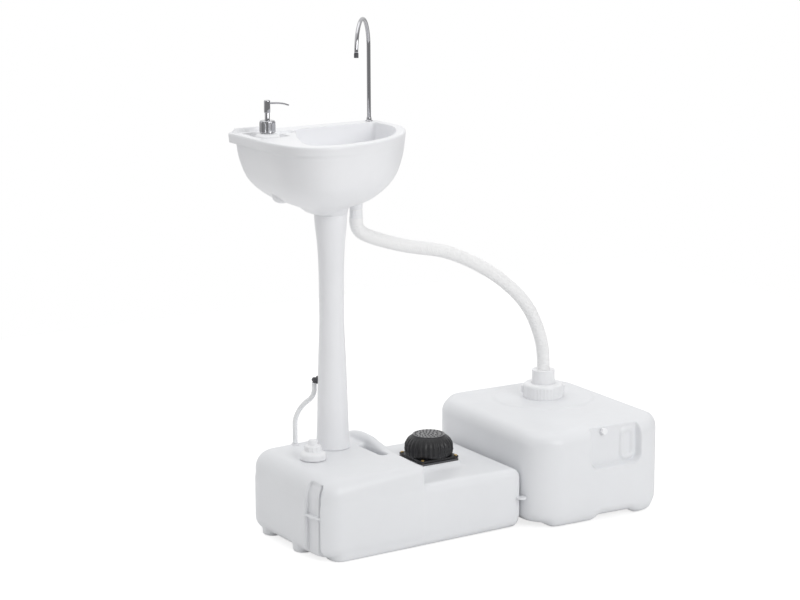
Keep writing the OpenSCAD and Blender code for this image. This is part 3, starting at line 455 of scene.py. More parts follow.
def rounded(a, b, f):
    """What lies inside both, with the corner where they meet rounded with radius f."""
    return np.minimum(np.maximum(a, b) + f, 0) + np.hypot(np.maximum(a + f, 0), np.maximum(b + f, 0)) - f


def melt(a, b, k):
    """Soft minimum of two distances: the smaller, less k/4 (1 - |a - b|/k) squared."""
    h = np.clip(1 - np.abs(a - b) / k, 0, 1)
    return np.minimum(a, b) - 0.25 * k * h * h


def carve(a, b, k):
    """Takes shape b out of shape a, with a lip k millimetres soft."""
    return -melt(-a, b, k)


def blend4(x, y, x0, x1, y0, y1, f):
    """Four corner values spread evenly over a rectangle."""
    u, v = np.clip((x - x0) / (x1 - x0), 0, 1), np.clip((y - y0) / (y1 - y0), 0, 1)
    return (f[0] * (1 - u) + f[1] * u) * (1 - v) + (f[3] * (1 - u) + f[2] * u) * v


def block(x, y, z, xs, ys, zs, r, top, foot):
    """A block between pairs of limits, with a radius for each upright corner and a
    fillet for each corner of its top and its foot."""
    side = pill(x, y, *xs, *ys, np.broadcast_to(r, (4,)))
    far = float(np.max(xs[1]))
    top, foot = (blend4(x, y, xs[0], far, *ys, np.broadcast_to(f, (4,))) for f in (top, foot))
    return np.where(z > (zs[0] + zs[1]) / 2, rounded(side, z - zs[1], top), rounded(side, zs[0] - z, foot))


# %% The net over the zero level
def net(name, field, xs, ys, zs):
    """Surface net: every grid edge whose ends differ in sign gives a crossing point, each
    cell takes the mean of its crossings as a corner, and each such edge becomes a quad."""
    inside, size = field < 0, field.shape
    sums, count, quads = np.zeros((4, field.size)), 0, []
    for axis in range(3):
        one, two = [slice(None)] * 3, [slice(None)] * 3
        one[axis], two[axis] = slice(None, -1), slice(1, None)
        low, high = field[tuple(one)], field[tuple(two)]
        at = np.argwhere(inside[tuple(one)] != inside[tuple(two)])
        a, b = low[tuple(at.T)], high[tuple(at.T)]
        spot = at.astype(float)
        spot[:, axis] += a / (a - b)
        p, q = (axis + 1) % 3, (axis + 2) % 3
        ring = []
        for dp, dq in ((0, 0), (1, 0), (1, 1), (0, 1)):
            cell = at.copy()
            cell[:, p] -= dp
            cell[:, q] -= dq
            ids = np.ravel_multi_index(cell.T, size)
            ring.append(ids)
            for k in range(3):
                sums[k] += np.bincount(ids, spot[:, k], field.size)
            sums[3] += np.bincount(ids, minlength=field.size)
        ring = np.stack(ring, -1)
        quads.append(np.where((a < 0)[:, None], ring, ring[:, ::-1]))
    used = np.flatnonzero(sums[3])
    mean = sums[:3, used] / sums[3, used]
    spots = [np.interp(m, np.arange(len(g)), g) for m, g in zip(mean, (xs, ys, zs))]
    number = np.zeros(field.size, int)
    number[used] = np.arange(len(used))
    return mesh_piece(name, (np.stack(spots, -1) + BASE_AT) * MM, number[np.concatenate(quads)].tolist())


def lines(*spans):
    """Grid lines from spans of (start, end, step), fine where the shape is."""
    return np.concatenate([np.arange(a, b - 1e-6, step) for a, b, step in spans] + [[spans[-1][1]]])


# %% Blocks of the base tank
BASE_W, BASE_D, SHELF_Z, TOP_Z, BELLY_Z = 470, 305, 125, 167, 8
STEP_X, STEP_LEAN = 240, 12
# The feet as x, y and radius.
FEET, FOOT_EDGE, FOOT_TOP = ((22, 112, 22), (24, 240, 22), (410, 255, 30)), 5.0, 26
BOSS_HALF, BOSS_Z = 48, 139.5
xs = lines((-4, 44, 2.0), (44, 196, 4.0), (196, 286, 2.0), (286, 380, 3.0), (380, 440, 4.0), (440, 474, 2.4))
ys = lines((-4, 60, 2.0), (60, 100, 3.0), (100, 215, 2.2), (215, 310, 3.2))
zs = lines((-3, 30, 2.2), (30, 84, 4.0), (84, 94, 1.8), (94, 120, 2.8), (120, 186, 1.8))
x, y, z = np.meshgrid(xs, ys, zs, indexing="ij")
step_x = STEP_X + STEP_LEAN * y / BASE_D
high = block(x, y, z, (0, step_x), (0, BASE_D), (BELLY_Z, TOP_Z), (50, 12, 26, 50), (44, 12, 12, 35), 22)
low = block(x, y, z, (0, BASE_W), (0, BASE_D), (BELLY_Z, SHELF_Z), (50, 14, 30, 50), (20, 20, 14, 14),
            (22, 21, 24, 22))
sill = block(x, y, z, (30, BASE_W - 0.5), (0.5, 44), (0, 60), (24, 16, 8, 8), 8, (5, 21, 21, 5))
boss = block(x, y, z, (PUMP[0] - BOSS_HALF, PUMP[0] + BOSS_HALF), (PUMP[1] - BOSS_HALF, PUMP[1] + BOSS_HALF),
             (60, BOSS_Z), 8, 3, 1)
feet = np.minimum.reduce([rounded(np.hypot(x - fx, y - fy) - r, -z, FOOT_EDGE) for fx, fy, r in FEET])
tank = melt(melt(np.minimum(low, sill), high, 5), boss, 14)
tank = melt(tank, np.maximum(feet, z - FOOT_TOP), 4)

# %% Carry bar with its finger slot
BAR_X, BAR_R, BAR_FOOT, BAR_Y = 234, 12, 148, (110, 299)
POCKET_HALF, POCKET_Z = 45.3, 135
# The bar's crest from front to back, read off its outline in the photograph.
crest_y = [96, 110, 122, 131, 145, 160, 172, 186, 199, 212, 224, 233, 242, 252, 262, 276, 286, 294, 298, 302]
crest_z = [146, 150, 154, 160, 168, 172.5, 174.5, 177, 180, 181.6, 182.2, 182.3, 182.2, 181.6, 180, 177, 174,
           171, 167, 158]
crest = smooth_curve(np.clip(ys, crest_y[0], crest_y[-1]), crest_y, crest_z)[None, :, None]
bar = np.hypot(x - BAR_X, np.maximum(z - crest + BAR_R, 0)) - BAR_R
bar = np.maximum(np.maximum(bar, BAR_FOOT - z), np.maximum(BAR_Y[0] - y, y - BAR_Y[1]))
tank = melt(tank, bar, 5)
slot = np.maximum(pill(x, y, 205, 222, 114, 208, (8.5,) * 4), 130 - z)
under_bar = np.maximum(pill(x, y, 210, 280, 122, 200, (6,) * 4), np.abs(z - 138) - 8)
pocket = pill(x, y, PUMP[0] - POCKET_HALF, PUMP[0] + POCKET_HALF, PUMP[1] - POCKET_HALF, PUMP[1] + POCKET_HALF,
              (5,) * 4)
pocket = np.maximum(pocket, POCKET_Z - z)
tank = carve(carve(carve(tank, under_bar, 3), slot, 5), pocket, 1.5)

# %% Strap channel down the front left corner
# Above BEND_Z the tank's edge leans back along a quarter circle, and the channel with it.
# A narrower, deeper groove runs along its front side, and the lug bridges both.
BEND_R, BEND_Z, LUG_Z = 44, 123, (86, 91)
CHANNEL_DEEP, CHANNEL_Y, CHANNEL_TOP = 8, (23, 66), 156
GROOVE_DEEP, GROOVE_Y, GROOVE_HALF, GROOVE_TOP = 20, 25.5, 2.7, 154
LEAN_X, LEAN_Y = 0.85, 0.42
lean = BEND_R - np.sqrt(BEND_R ** 2 - np.clip(z - BEND_Z, 0, BEND_R - 1) ** 2)
lug_gap = -np.maximum(z - LUG_Z[1], LUG_Z[0] - z)
beside = np.maximum(CHANNEL_Y[0] - y, y - CHANNEL_Y[1])
channel = rounded(np.maximum(x - CHANNEL_DEEP - LEAN_X * lean, beside), z - CHANNEL_TOP, 9)
beside = np.abs(y - GROOVE_Y - LEAN_Y * lean) - GROOVE_HALF
groove = rounded(np.maximum(x - GROOVE_DEEP - LEAN_X * lean, beside), z - GROOVE_TOP, 3)
tank = carve(carve(tank, np.maximum(channel, lug_gap), 2.5), np.maximum(groove, lug_gap), 1.0)
base = relaxed(net("base_shell", tank, xs, ys, zs), 0.5, 2)
placed(base, TANK, "stand", ["base_tank"])

# %% Strap lugs and fill neck
lugs = joined("strap_lugs", [
    lathe("lug", [(86, 20), (86.5, 22.2), (88.5, 23), (90.5, 22.2), (91, 20)], local(21.5, 46), 64),
    lathe("lug", [(63, 9), (63.4, 10.2), (65, 10.5), (66.6, 10.2), (67, 9)], local(465, -5), 48)])
placed(lugs, TANK)
neck = lathe("fill_neck", [(150, 19.5), (171.2, 19.5), (171.5, 20), (171.5, 21.6), (171.2, 22), (160, 22)],
             FILL_AT, 72, low=False, high=False)
placed(neck, TANK)

# %% Filler cap
def grips(count, high, rise, fall, low=0.0, sharp=1.0):
    """Upright ribs for lathe: high cos(count a)^sharp, no less than low, that come up
    between the two heights of rise and go down between the two of fall."""
    def dent(angle, z):
        wave = np.clip(np.cos(count * angle), low, 1)
        return high * (wave ** sharp if sharp != 1 else wave) * step_up(z, *rise) * step_up(-z, -fall[1], -fall[0])
    return dent


cap_profile = [(168, 25.4), (168.3, 26), (169.5, 26.4), (177, 26.4), (179, 25.9), (181, 24.4), (183, 21.6),
               (184.2, 18.6), (184.9, 17.2), (186.5, 16.6), (192, 16.4), (194.5, 16.2), (196, 15.4),
               (196.9, 13.6), (197.1, 11.4), (197.5, 10.3), (199, 9.9), (204, 9.7), (206, 9.2), (207.4, 7.8),
               (208, 5.6), (208, 1)]
filler = lathe("filler_cap", fine(cap_profile, 110), FILL_AT, 240,
               dent=grips(12, 1.1, (186, 187.5), (194, 195.5), sharp=2.0))
placed(filler, CAP, "filler_cap", ["fill_cap"])

# %% [markdown]
# ## The waste tank
# This one is a single closed surface: rows go from the middle of the underside, out
# and up the wall, and in over the top to the middle again. The top edge is rounder at
# the front and left than at the right and back. Smooth masks push the front recess in,
# leave the rounded grip frame standing and let the feet down.

# %% Outline of the waste tank and its masks
WASTE_W, WASTE_D, WASTE_H, WASTE_R = 330.0, 415.0, 198.0, 70.0
TOP_F, TOP_F_FAR, FOOT_F, BELLY = 28.0, 16.0, 22.0, 9
FRONT = -WASTE_D / 2


def rounded_outline(half_x, half_y, r, spots):
    """Points and outward normals round a rectangle with round corners, at distances
    spots from the middle of its front side, counterclockwise seen from above."""
    sx, sy, arc = half_x - r, half_y - r, math.pi * r / 2
    lengths = np.array([sx, arc, 2 * sy, arc, 2 * sx, arc, 2 * sy, arc, sx])
    ends = np.concatenate([[0], np.cumsum(lengths)])
    s = np.asarray(spots) % ends[-1]
    leg = np.clip(np.searchsorted(ends, s, side="right") - 1, 0, 8)
    t = s - ends[leg]
    turn0 = np.radians([-90, -90, 0, 0, 90, 90, 180, 180, 270])
    angle = turn0[leg] + np.where(leg % 2 == 1, t / r, 0)
    normal = np.stack([np.cos(angle), np.sin(angle)], -1)
    cx = np.array([0, sx, sx, sx, sx, -sx, -sx, -sx, -sx])
    cy = np.array([-sy, -sy, -sy, sy, sy, sy, sy, -sy, -sy])
    along = np.stack([-np.sin(turn0), np.cos(turn0)], -1)
    run = np.where(leg % 2 == 0, t, 0)[:, None] * along[leg]
    return np.stack([cx[leg], cy[leg]], -1) + run + r * normal, normal, ends[-1]


def round_mask(x, z, x0, x1, z0, z1, r, soft):
    """1 inside a rectangle with corners of radius r and 0 outside it, soft mm wide."""
    return step_up(-pill(x, z, x0, x1, z0, z1, (r,) * 4), -soft / 2, soft / 2)


# The feet as x0, x1, y0, y1. The recess, and the two outlines of its grip frame, as
# x0, x1, z0, z1, corner radius and softness.
WASTE_FEET = ((-122, -12, FRONT - 5, FRONT + 62), (82, 136, FRONT - 5, FRONT + 62),
              (-122, -40, 145, 215), (60, 136, 145, 215))
FOOT_SOFT, FOOT_FULL, FOOT_START, RECESS_DEEP, GRIP_HIGH = 24, 12, 46, 16, 4.3
RECESS, GRIP_OUT, GRIP_IN = (-28, 93, 114, 290, 18, 6), (51, 87, 121, 187, 12, 5), (60, 78, 130, 178, 7, 5)
RING_HIGH, RING_R, CROWN_HIGH = 1.6, 110, 1.2


def foot_blocks(x, y):
    """1 under the four feet, 0 between them."""
    return np.clip(sum(pad_mask(x, y, *foot, FOOT_SOFT) for foot in WASTE_FEET), 0, 1)


# %% Waste tank surface, row by row
# Columns and rows lie closer together where the recess is.
whole = rounded_outline(WASTE_W / 2, WASTE_D / 2, WASTE_R, [0])[2]
spots = np.concatenate([np.arange(-45, 100, 1.45), np.arange(100, whole - 45, 3.4)])
edge, normal, _ = rounded_outline(WASTE_W / 2, WASTE_D / 2, WASTE_R, spots)
bend = np.linspace(0, math.pi / 2, 13)[:, None]
fillet = (TOP_F - (TOP_F - TOP_F_FAR) * step_up(normal.sum(-1), 0, 0.9))[None]
level_row = 0 * fillet
side_z = np.concatenate([np.arange(36, 106, 5.0), np.arange(106, 169, 1.5)])[:, None]
inset = np.concatenate([FOOT_F * (1 - np.cos(bend[::-1])) + level_row, 0 * side_z + level_row,
                        fillet * (1 - np.cos(bend))])
wall_z = np.concatenate([BELLY + FOOT_F * (1 - np.sin(bend[::-1])) + level_row, side_z + level_row,
                         WASTE_H - fillet * (1 - np.sin(bend))])
wall = edge[None] - inset[..., None] * normal[None]
share_in, share_low = np.linspace(0, 1, 46)[1:-1, None], np.linspace(0, 1, 16)[1:-1, None]
plan = np.concatenate([wall[0][None] * share_low[..., None], wall, wall[-1][None] * (1 - share_in)[..., None]])
height = np.concatenate([0 * share_low + BELLY + level_row, wall_z, 0 * share_in + WASTE_H + level_row])

# %% Let the feet down, press the recess in, raise the ring round the neck
x, y = plan[..., 0], plan[..., 1]
height = height - foot_blocks(x, y) * BELLY * step_up(-height, -FOOT_START, -FOOT_FULL)
recess = round_mask(x, height, *RECESS) * (y < 0)
ridge = round_mask(x, height, *GRIP_OUT) * (1 - round_mask(x, height, *GRIP_IN))
y = np.where(recess > 0, np.maximum(y, FRONT + RECESS_DEEP * recess - GRIP_HIGH * ridge), y)
# What lies above 150 or 190 mm is the top of the tank: it gets a ring and a slight crown.
from_cap = np.hypot(x - CAP_SPOT[0], y - CAP_SPOT[1])
height = height + RING_HIGH * step_up(-from_cap, -RING_R, 5 - RING_R) * (height > 150)
crown = np.cos(x / WASTE_W * math.pi) * np.cos(y / WASTE_D * math.pi)
height = height + CROWN_HIGH * step_up(height, 150, WASTE_H) * crown * (height > 190)
waste = skin("waste_shell", np.stack([*on_waste(x, y), height], -1))
placed(waste, TANK, "stand", ["waste_tank"])
waste_neck = lathe("waste_neck", [(190, 36), (219.6, 36), (220, 35.4), (220, 32), (219.6, 31.6), (190, 31.6)],
                   CAP_AT, 96, low=False, high=False)
placed(waste_neck, TANK)

# %% Waste cap with its ribs and two finger lugs
def lug_rows(x0, x1, y0, y1, z0, z1, r, f):
    """Rows of a small block whose upright corners have radius r. At its foot and top the
    outline moves in by f(1 - cos a) while the height runs f(1 - sin a) to the end."""
    xs, ys = np.array([x0, x1, x1, x0]), np.array([y0, y0, y1, y1])
    sx, sy = np.array([1, -1, -1, 1]), np.array([1, 1, -1, -1])
    turn = np.radians(180 + 90 * np.arange(4)[:, None] + np.linspace(0, 90, 6)[None])

    def row(a, z, up):
        inset = f * (1 - np.cos(a))
        q = np.maximum(r - inset, 1)
        x = (xs + sx * (inset + q))[:, None] + q * np.cos(turn)
        y = (ys + sy * (inset + q))[:, None] + q * np.sin(turn)
        return np.stack([x, y, np.full(x.shape, z + up * f * (1 - np.sin(a)))], -1).reshape(-1, 3)

    bend = np.linspace(math.pi / 2, 0, 6)
    return np.stack([row(a, z0, 1) for a in bend] + [row(a, z1, -1) for a in bend[::-1]])


ring_profile = [(201, 36.6), (200.2, 38), (200, 41), (200.6, 42.4), (202, 42.8), (225, 42.8), (227.5, 42.3),
                (229.4, 41), (230.6, 39), (231, 36), (231, 27), (230.5, 25.4), (229.5, 24.9), (224, 24.9)]
waste_ring = lathe("ring", fine(ring_profile, 90), CAP_AT, 720, low=False, high=False,
                   dent=grips(36, 0.6, (202, 204), (224, 227)))
LUG_OUT = 42.5
finger_lugs = []
for way in np.radians([150, 330]) - WASTE_TURN:
    lug = lug_rows(-4.5, 4.5, -6, 6, 210, 226, 3, 1.5)
    out, aside = LUG_OUT + lug[..., 0], lug[..., 1]
    finger_lugs.append(skin("lug", np.stack([
        CAP_AT[0] + out * np.cos(way) - aside * np.sin(way),
        CAP_AT[1] + out * np.sin(way) + aside * np.cos(way), lug[..., 2]], -1)))
cap_ring = joined("waste_cap_ring", [waste_ring] + finger_lugs)
placed(cap_ring, CAP, "waste_ring", ["waste_cap"])

# %% [markdown]
# ## The column
# The column is one blown tube, widest at its foot and its head and slim at the waist.
# Its outline is a smooth curve through the radii measured on the photograph.

# %% Column
column_z = [168, 185, 220, 288, 352, 400, 440, 520, 560, 590, 612, 626, 638, 649.5]
column_r = [34, 33.4, 31.8, 30, 28, 26, 25, 25.3, 26.4, 28.2, 30.4, 32, 32.8, 33.2]
rise = np.linspace(column_z[0], column_z[-1], 154)
waist = np.stack([rise, smooth_curve(rise, column_z, column_r)], -1)
column = lathe("column_shell", np.concatenate([[(167.2, 32.6), (167.4, 33.6)], waist, [(649.9, 32.8)]]),
               COLUMN_AT, 128)
placed(column, BASIN, "stand", ["column"])

# %% [markdown]
# ## The basin
# Seen from above the basin is a D with one long curved front. One surface makes it:
# up the outside of the bowl, round the rim, across the soap deck and down the inside.
# The outside's size at each depth is a share of the rim outline, read off the
# silhouette; the tray, dish and rail are smooth steps in the deck's height.

# %% Basin outlines
def smooth_rows(profile, count):
    """A profile of (height, radius) drawn as a smooth curve through its points."""
    p = np.asarray(profile, float)
    z = np.interp(np.linspace(0, len(p) - 1, count), np.arange(len(p)), p[:, 0])
    return np.stack([z, smooth_curve(z, p[:, 0], p[:, 1])], -1)


RIM_Z, RIM_W, BACK = 812.0, 344, 334.0
LEFT = COLUMN[0] - RIM_W // 2
RIGHT = LEFT + RIM_W


def cut_round(p, times):
    """Corner cutting on a closed line, as for the open one."""
    p = np.asarray(p, float)
    for _ in range(times):
        q = np.roll(p, -1, axis=0)
        p = np.stack([0.75 * p + 0.25 * q, 0.25 * p + 0.75 * q], 1).reshape(-1, 2)
    return p


def by_angle(line, centre, angles):
    """The point of a closed line in each direction from a centre."""
    d = line - centre
    a = np.unwrap(np.arctan2(d[:, 1], d[:, 0]))
    r = np.hypot(d[:, 0], d[:, 1])
    if a[-1] < a[0]:
        a, r, line = a[::-1], r[::-1], line[::-1]
    a3 = np.concatenate([a - 2 * math.pi, a, a + 2 * math.pi])
    x3, y3 = np.tile(line[:, 0], 3), np.tile(line[:, 1], 3)
    return np.stack([np.interp(angles, a3, x3), np.interp(angles, a3, y3)], -1)


COLS = 460
ways = np.linspace(-math.pi, math.pi, COLS, endpoint=False)
BOWL_C, OPEN_C, DRAIN_C = np.array([154.0, 240.0]), np.array([215.0, 215.0]), np.array(DRAIN, float)
FRONT_RIGHT = [[126, 42], [244, 94], [RIGHT + 4, 205], [RIGHT, BACK - 22], [RIGHT, BACK], [RIGHT - 22, BACK]]
# Corners of the outlines, listed one by one; the cutting makes curves of them.
rim_line = cut_round([[LEFT + 22, BACK], [LEFT, BACK], [LEFT, BACK - 22], [LEFT, 116], [34, 44]] + FRONT_RIGHT, 4)
bowl_line = cut_round([[LEFT + 36, BACK], [LEFT + 15, BACK], [LEFT + 15, BACK - 22], [LEFT + 8, 232],
                       [LEFT + 3, 118], [36, 45]] + FRONT_RIGHT, 4)
open_line = cut_round([[124, 300], [112, 288], [28, 112], [50, 70], [122, 67], [232, 104], [306, 212],
                       [306, 280], [306, 300], [286, 300]], 4)
rim_loop, bowl_loop, open_loop = (by_angle(line, OPEN_C, ways) for line in (rim_line, bowl_line, open_line))

# %% Outside of the bowl and the rolled lip
# Shares of the rim's outline at each depth under the rim.
outer_depth = np.array([162.0, 152, 144, 134, 122, 106, 88, 70, 45, 20])
outer_share = [0.22, 0.30, 0.42, 0.575, 0.685, 0.795, 0.875, 0.92, 0.962, 0.983]
depth = np.concatenate([np.linspace(162, 120, 20), np.linspace(118, 20, 24)])
share = smooth_curve(-depth, -outer_depth, outer_share)
outside = BOWL_C + share[:, None, None] * (bowl_loop - BOWL_C)
lip = np.array([(0.9845, -19.0), (0.9865, -16), (0.989, -12), (0.9915, -8), (0.9925, -5), (0.9915, -3),
                (0.988, -1.2), (0.982, -0.3), (0.974, 0)])
lips = BOWL_C + lip[:, 0, None, None] * (rim_loop - BOWL_C)

# %% Soap deck and the inside of the bowl
TRAY_DEEP, DISH_DEEP, WELL_DEEP, RAIL_HIGH = 17, 13, 29, 8
TRAY, RAIL = (LEFT + 20, LEFT + 82, 222, 300), (LEFT + 5, LEFT + 77, BACK - 16.5, BACK - 7.5)
DISH_ENDS, DISH_Y, DISH_R, DISH_SLOPE, WELL_R, WELL_SLOPE, DECK_SOFT = (92, 78), 276, 17, 2.5, 24.2, 1, 3


def deck_height(x, y):
    """The soap deck: a tray round the bottle, a small dish, a rail at the back."""
    tray, rail = pad_mask(x, y, *TRAY, DECK_SOFT), pad_mask(x, y, *RAIL, DECK_SOFT)
    dish = np.maximum(*(step_up(-np.hypot(x - end, y - DISH_Y), -DISH_R, DISH_SLOPE - DISH_R) for end in DISH_ENDS))
    well = step_up(-np.hypot(x - SOAP[0], y - SOAP[1]), -WELL_R, WELL_SLOPE - WELL_R)
    return -TRAY_DEEP * tray - DISH_DEEP * dish * (1 - tray) - WELL_DEEP * well + RAIL_HIGH * rail


across = np.linspace(0, 1, 62)[1:-1, None]
edge_in = DRAIN_C + 1.012 * (open_loop - DRAIN_C)
deck = lips[-1][None] * (1 - across)[..., None] + edge_in[None] * across[..., None]
at_edges = step_up(across, 0, 0.08) * step_up(-across, -1, -0.95)
deck_z = RIM_Z + deck_height(deck[..., 0], deck[..., 1]) * at_edges
inner_depth = [0.15, 0.6, 2.0, 4.5, 8, 42, 77, 107, 125, 134, 137]
inner_share = [1.010, 1.006, 1.0, 0.995, 0.99, 0.94, 0.85, 0.70, 0.52, 0.32, 0.10]
inner_d = np.concatenate([[0.15, 0.6, 1.2, 2.0, 3.2, 4.5, 6], np.linspace(8, 137, 52)])
inner_k = smooth_curve(inner_d, inner_depth, inner_share)
inside = DRAIN_C + inner_k[:, None, None] * (open_loop - DRAIN_C)

# %% Basin surface
flat = np.zeros((1, COLS))
plan = np.concatenate([outside, lips, deck, inside])
high = np.concatenate([(RIM_Z - depth)[:, None] + flat, (RIM_Z + lip[:, 1:]) + flat, deck_z,
                       (RIM_Z - inner_d)[:, None] + flat])
basin = skin("basin_shell", np.concatenate([plan, high[..., None]], -1) + BASE_AT)
placed(basin, BASIN, "stand", ["basin"])

# %% Neck and bosses under the bowl
neck_flare = [(650.2, 33.4), (650.6, 34.2), (652, 34.5), (656, 34.8), (660, 36.4), (664, 39.6), (668, 44.5),
              (672, 52)]
drain_boss = [(652.1, 12.6), (652.6, 13.1), (664, 13.2), (670, 13.8), (676, 16), (682, 21)]
low_boss = [(676.5, 5), (677.2, 9), (680, 14), (684, 17.5), (690, 19.5), (706, 20)]
under = joined("basin_neck", [
    lathe("neck", smooth_rows(neck_flare, 26), COLUMN_AT, 96),
    lathe("boss", smooth_rows(drain_boss, 24), DRAIN_AT, 72),
    lathe("boss", smooth_rows(low_boss, 26), local(56, 243), 64)])
placed(under, BASIN)

# %% [markdown]
# ## The foot pump
# The bellows is black rubber with upright flutes and two rings of small bosses; its
# flat top carries grip studs. The bellows flattens as the pump is pressed; here only
# the tread on top rides down with the moving body.

# %% Bellows
ring_z = [141.9, 142.5, 144, 147, 151, 158, 165, 171.5, 177, 181, 184, 186, 186.9]
ring_r = [40.5, 41.5, 44, 47.3, 48.6, 49, 48.8, 47.2, 44.2, 40.6, 37, 34.2, 33]
bellows_profile = fine(np.stack([ring_z, ring_r], -1), 90)
FLUTES, FLUTE_DEEP, BOSS_ROWS, BOSS_SOFT, BOSS_HIGH = 30, 0.8, (157, 168.5), 2.2, 0.7


def flutes(angle, z):
    """Upright flutes that fade out at the foot and the shoulder, and two rows of bosses."""
    body = step_up(z, 144, 151) * step_up(-z, -185, -178)
    row = sum(np.exp(-((z - level) / BOSS_SOFT) ** 2) for level in BOSS_ROWS)
    wave = np.cos(FLUTES * angle)
    return FLUTE_DEEP * body * wave + BOSS_HIGH * row * np.clip(wave, 0, 1)


bellows = lathe("pump_bellows", bellows_profile, PUMP_AT, 360, dent=flutes)
placed(bellows, RUBBER, "stand", ["pump_dome"])


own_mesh(bellows)

# %% Grip studs of the tread
STUD_RINGS, STUD_STEP = 4, 9.2
disc = [(187.1, 31), (187.1, 32.6), (187.6, 33), (188.3, 32.8), (188.6, 32), (188.6, 30)]
studs = [lathe("disc", disc, PUMP_AT, 96)]
for ring_no in range(STUD_RINGS):
    reach = STUD_STEP * ring_no
    for turn in np.linspace(0, 2 * math.pi, 1 + 7 * ring_no, endpoint=False):
        spot = (PUMP_AT[0] + reach * math.cos(turn), PUMP_AT[1] + reach * math.sin(turn))
        studs.append(lathe("stud", [(188, 1.7), (189.2, 1.7), (189.8, 1.3), (190, 0.7)], spot, 14))
tread = joined("tread_top", studs)
# The tread's grey is painted sheen on black rubber.
placed(tread, TREAD_PAINTED_SHEEN, "tread", ["pump_tread"])


# %% Springs inside the pump and the soap pump
def coil(name, centre, radius, wire, z0, z1, turns, cols=8):
    """A helix of wire: (r cos t, r sin t, rising evenly), with flat room at both ends."""
    t = np.linspace(0, 2 * math.pi * turns, int(turns * 24) + 1)
    rise = z0 + wire + (z1 - z0 - 2 * wire) * t / t[-1]
    line = np.stack([centre[0] + radius * np.cos(t), centre[1] + radius * np.sin(t), rise], -1)
    return skin(name, tube_grid(line, wire, cols, (0, 0, 1)))


pump_coil = coil("pump_coil", PUMP_AT, 27, 1.3, 103.05, 183.95, 7)
placed(pump_coil, STEEL, "stand", ["pump_spring"])
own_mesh(pump_coil)
soap_coil = coil("soap_coil", SOAP_AT, 4.4, 0.5, 776.05, 812.95, 7)
placed(soap_coil, STEEL, "dispenser", ["soap_spring"])
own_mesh(soap_coil)

# %% [markdown]
# ## Soap bottle, soap pump and tap
# The bottle is white with round shoulders. Collar, stem, head and gooseneck are
# chromed, so they are turned or swept with soft edges that catch a line of light.

# %% Soap bottle and pump
shoulders = [(750, 15.5), (752, 17), (773, 22.8), (802.05, 22.8), (802.1, 24.6), (802.4, 25), (806, 25),
             (809, 24.8), (811.5, 23.9), (813.8, 21.9), (815.6, 19), (816.8, 15.6), (817.4, 13), (818.2, 12.1),
             (828.6, 12), (829, 11.6), (829, 10.2), (828, 10)]
bottle = lathe("soap_bottle_skin", fine(shoulders, 120), SOAP_AT, 96, high=False)
placed(bottle, CAP, "bottle", ["soap_bottle"])
collar_profile = [(818.4, 12.4), (818.3, 14.6), (818.8, 15.2), (838, 15.2), (840.6, 14.9), (841.6, 14.2),
                  (842, 13), (842, 6), (841.8, 5.1), (839, 5.05)]
collar = lathe("soap_collar_skin", fine(collar_profile, 70), SOAP_AT, 480, low=False, high=False,
               dent=grips(13, 0.8, (818.6, 820), (838, 840.5), low=-0.5))
placed(collar, CHROME, "collar", ["soap_collar"])
stem = lathe("soap_stem_skin", [(813, 4.6), (813.2, 5), (856.6, 5), (857, 4.7), (857, 3), (868, 3)], SOAP_AT, 64)
placed(stem, CHROME, "plunger", ["soap_stem"])
SPOUT_TURN, SPOUT_R, SPOUT_TIP_R = math.radians(-31), 2.3, 1.6
reach, rise = cut_corners(np.array([[2, 876], [12, 876.2], [24, 876.2], [34, 874.6], [42.8, 871.6]]), 3).T
spout_line = np.stack([SOAP_AT[0] + reach * math.cos(SPOUT_TURN),
                       SOAP_AT[1] + reach * math.sin(SPOUT_TURN), rise], -1)
spout_r = np.linspace(SPOUT_R, SPOUT_TIP_R, len(spout_line))
knob = [(857.2, 5.6), (857.5, 6.1), (858.2, 6.25), (879.5, 6.25), (881, 6), (881.8, 5.3), (882, 4.2)]
head = joined("soap_head_skin", [lathe("knob", knob, SOAP_AT, 64),
                                 skin("spout", tube_grid(spout_line, spout_r, 24, (0, 0, 1)))])
placed(head, CHROME, "nozzle_head", ["soap_head"])

# %% Gooseneck
TAP_WAY, ARCH_R, ARCH_Z, TAP_R = math.radians(227.5), 62.0, 964.0, 4.0
bow = np.linspace(math.pi, 0, 60)
reach = np.concatenate([np.zeros(40), ARCH_R + ARCH_R * np.cos(bow)])
rise = np.concatenate([np.linspace(789, ARCH_Z - 2, 40), ARCH_Z + ARCH_R * np.sin(bow)])
neck_line = np.stack([TAP_AT[0] + reach * math.cos(TAP_WAY), TAP_AT[1] + reach * math.sin(TAP_WAY), rise], -1)
square = (math.sin(TAP_WAY), -math.cos(TAP_WAY), 0)
gooseneck = joined("gooseneck_tube", [
    skin("tube", tube_grid(neck_line, TAP_R, 32, square)),
    lathe("collar", [(819.1, 4.4), (819.3, 4.8), (820.6, 4.8), (821, 4.2)], TAP_AT, 48)])
placed(gooseneck, CHROME, "gooseneck", ["tap_spout"])
ferrule_profile = [(812.1, 7.2), (812.3, 7.6), (813.3, 7.5), (813.9, 6.4), (814.6, 5.4), (817.6, 5.2),
                   (818.8, 5), (819, 4.1)]
ferrule = lathe("tap_foot", fine(ferrule_profile, 40), TAP_AT, 72, low=False, high=False)
placed(ferrule, CHROME, "stand", ["tap_ferrule"])

# %% [markdown]
# ## Floor and light
# A pale floor keeps the object's soft shadow and looks white to the camera. The sky is
# dim at the sides and in front, and brightens upward and behind, so that the tops of
# the tanks shine a little at a flat angle. One big soft lamp stands in front at the
# camera's right and a weaker one hangs above.

# %% Floor
FLOOR_HALF, FLOOR_GLOW, FLOOR_SHARE = 2, 1.3, 0.6


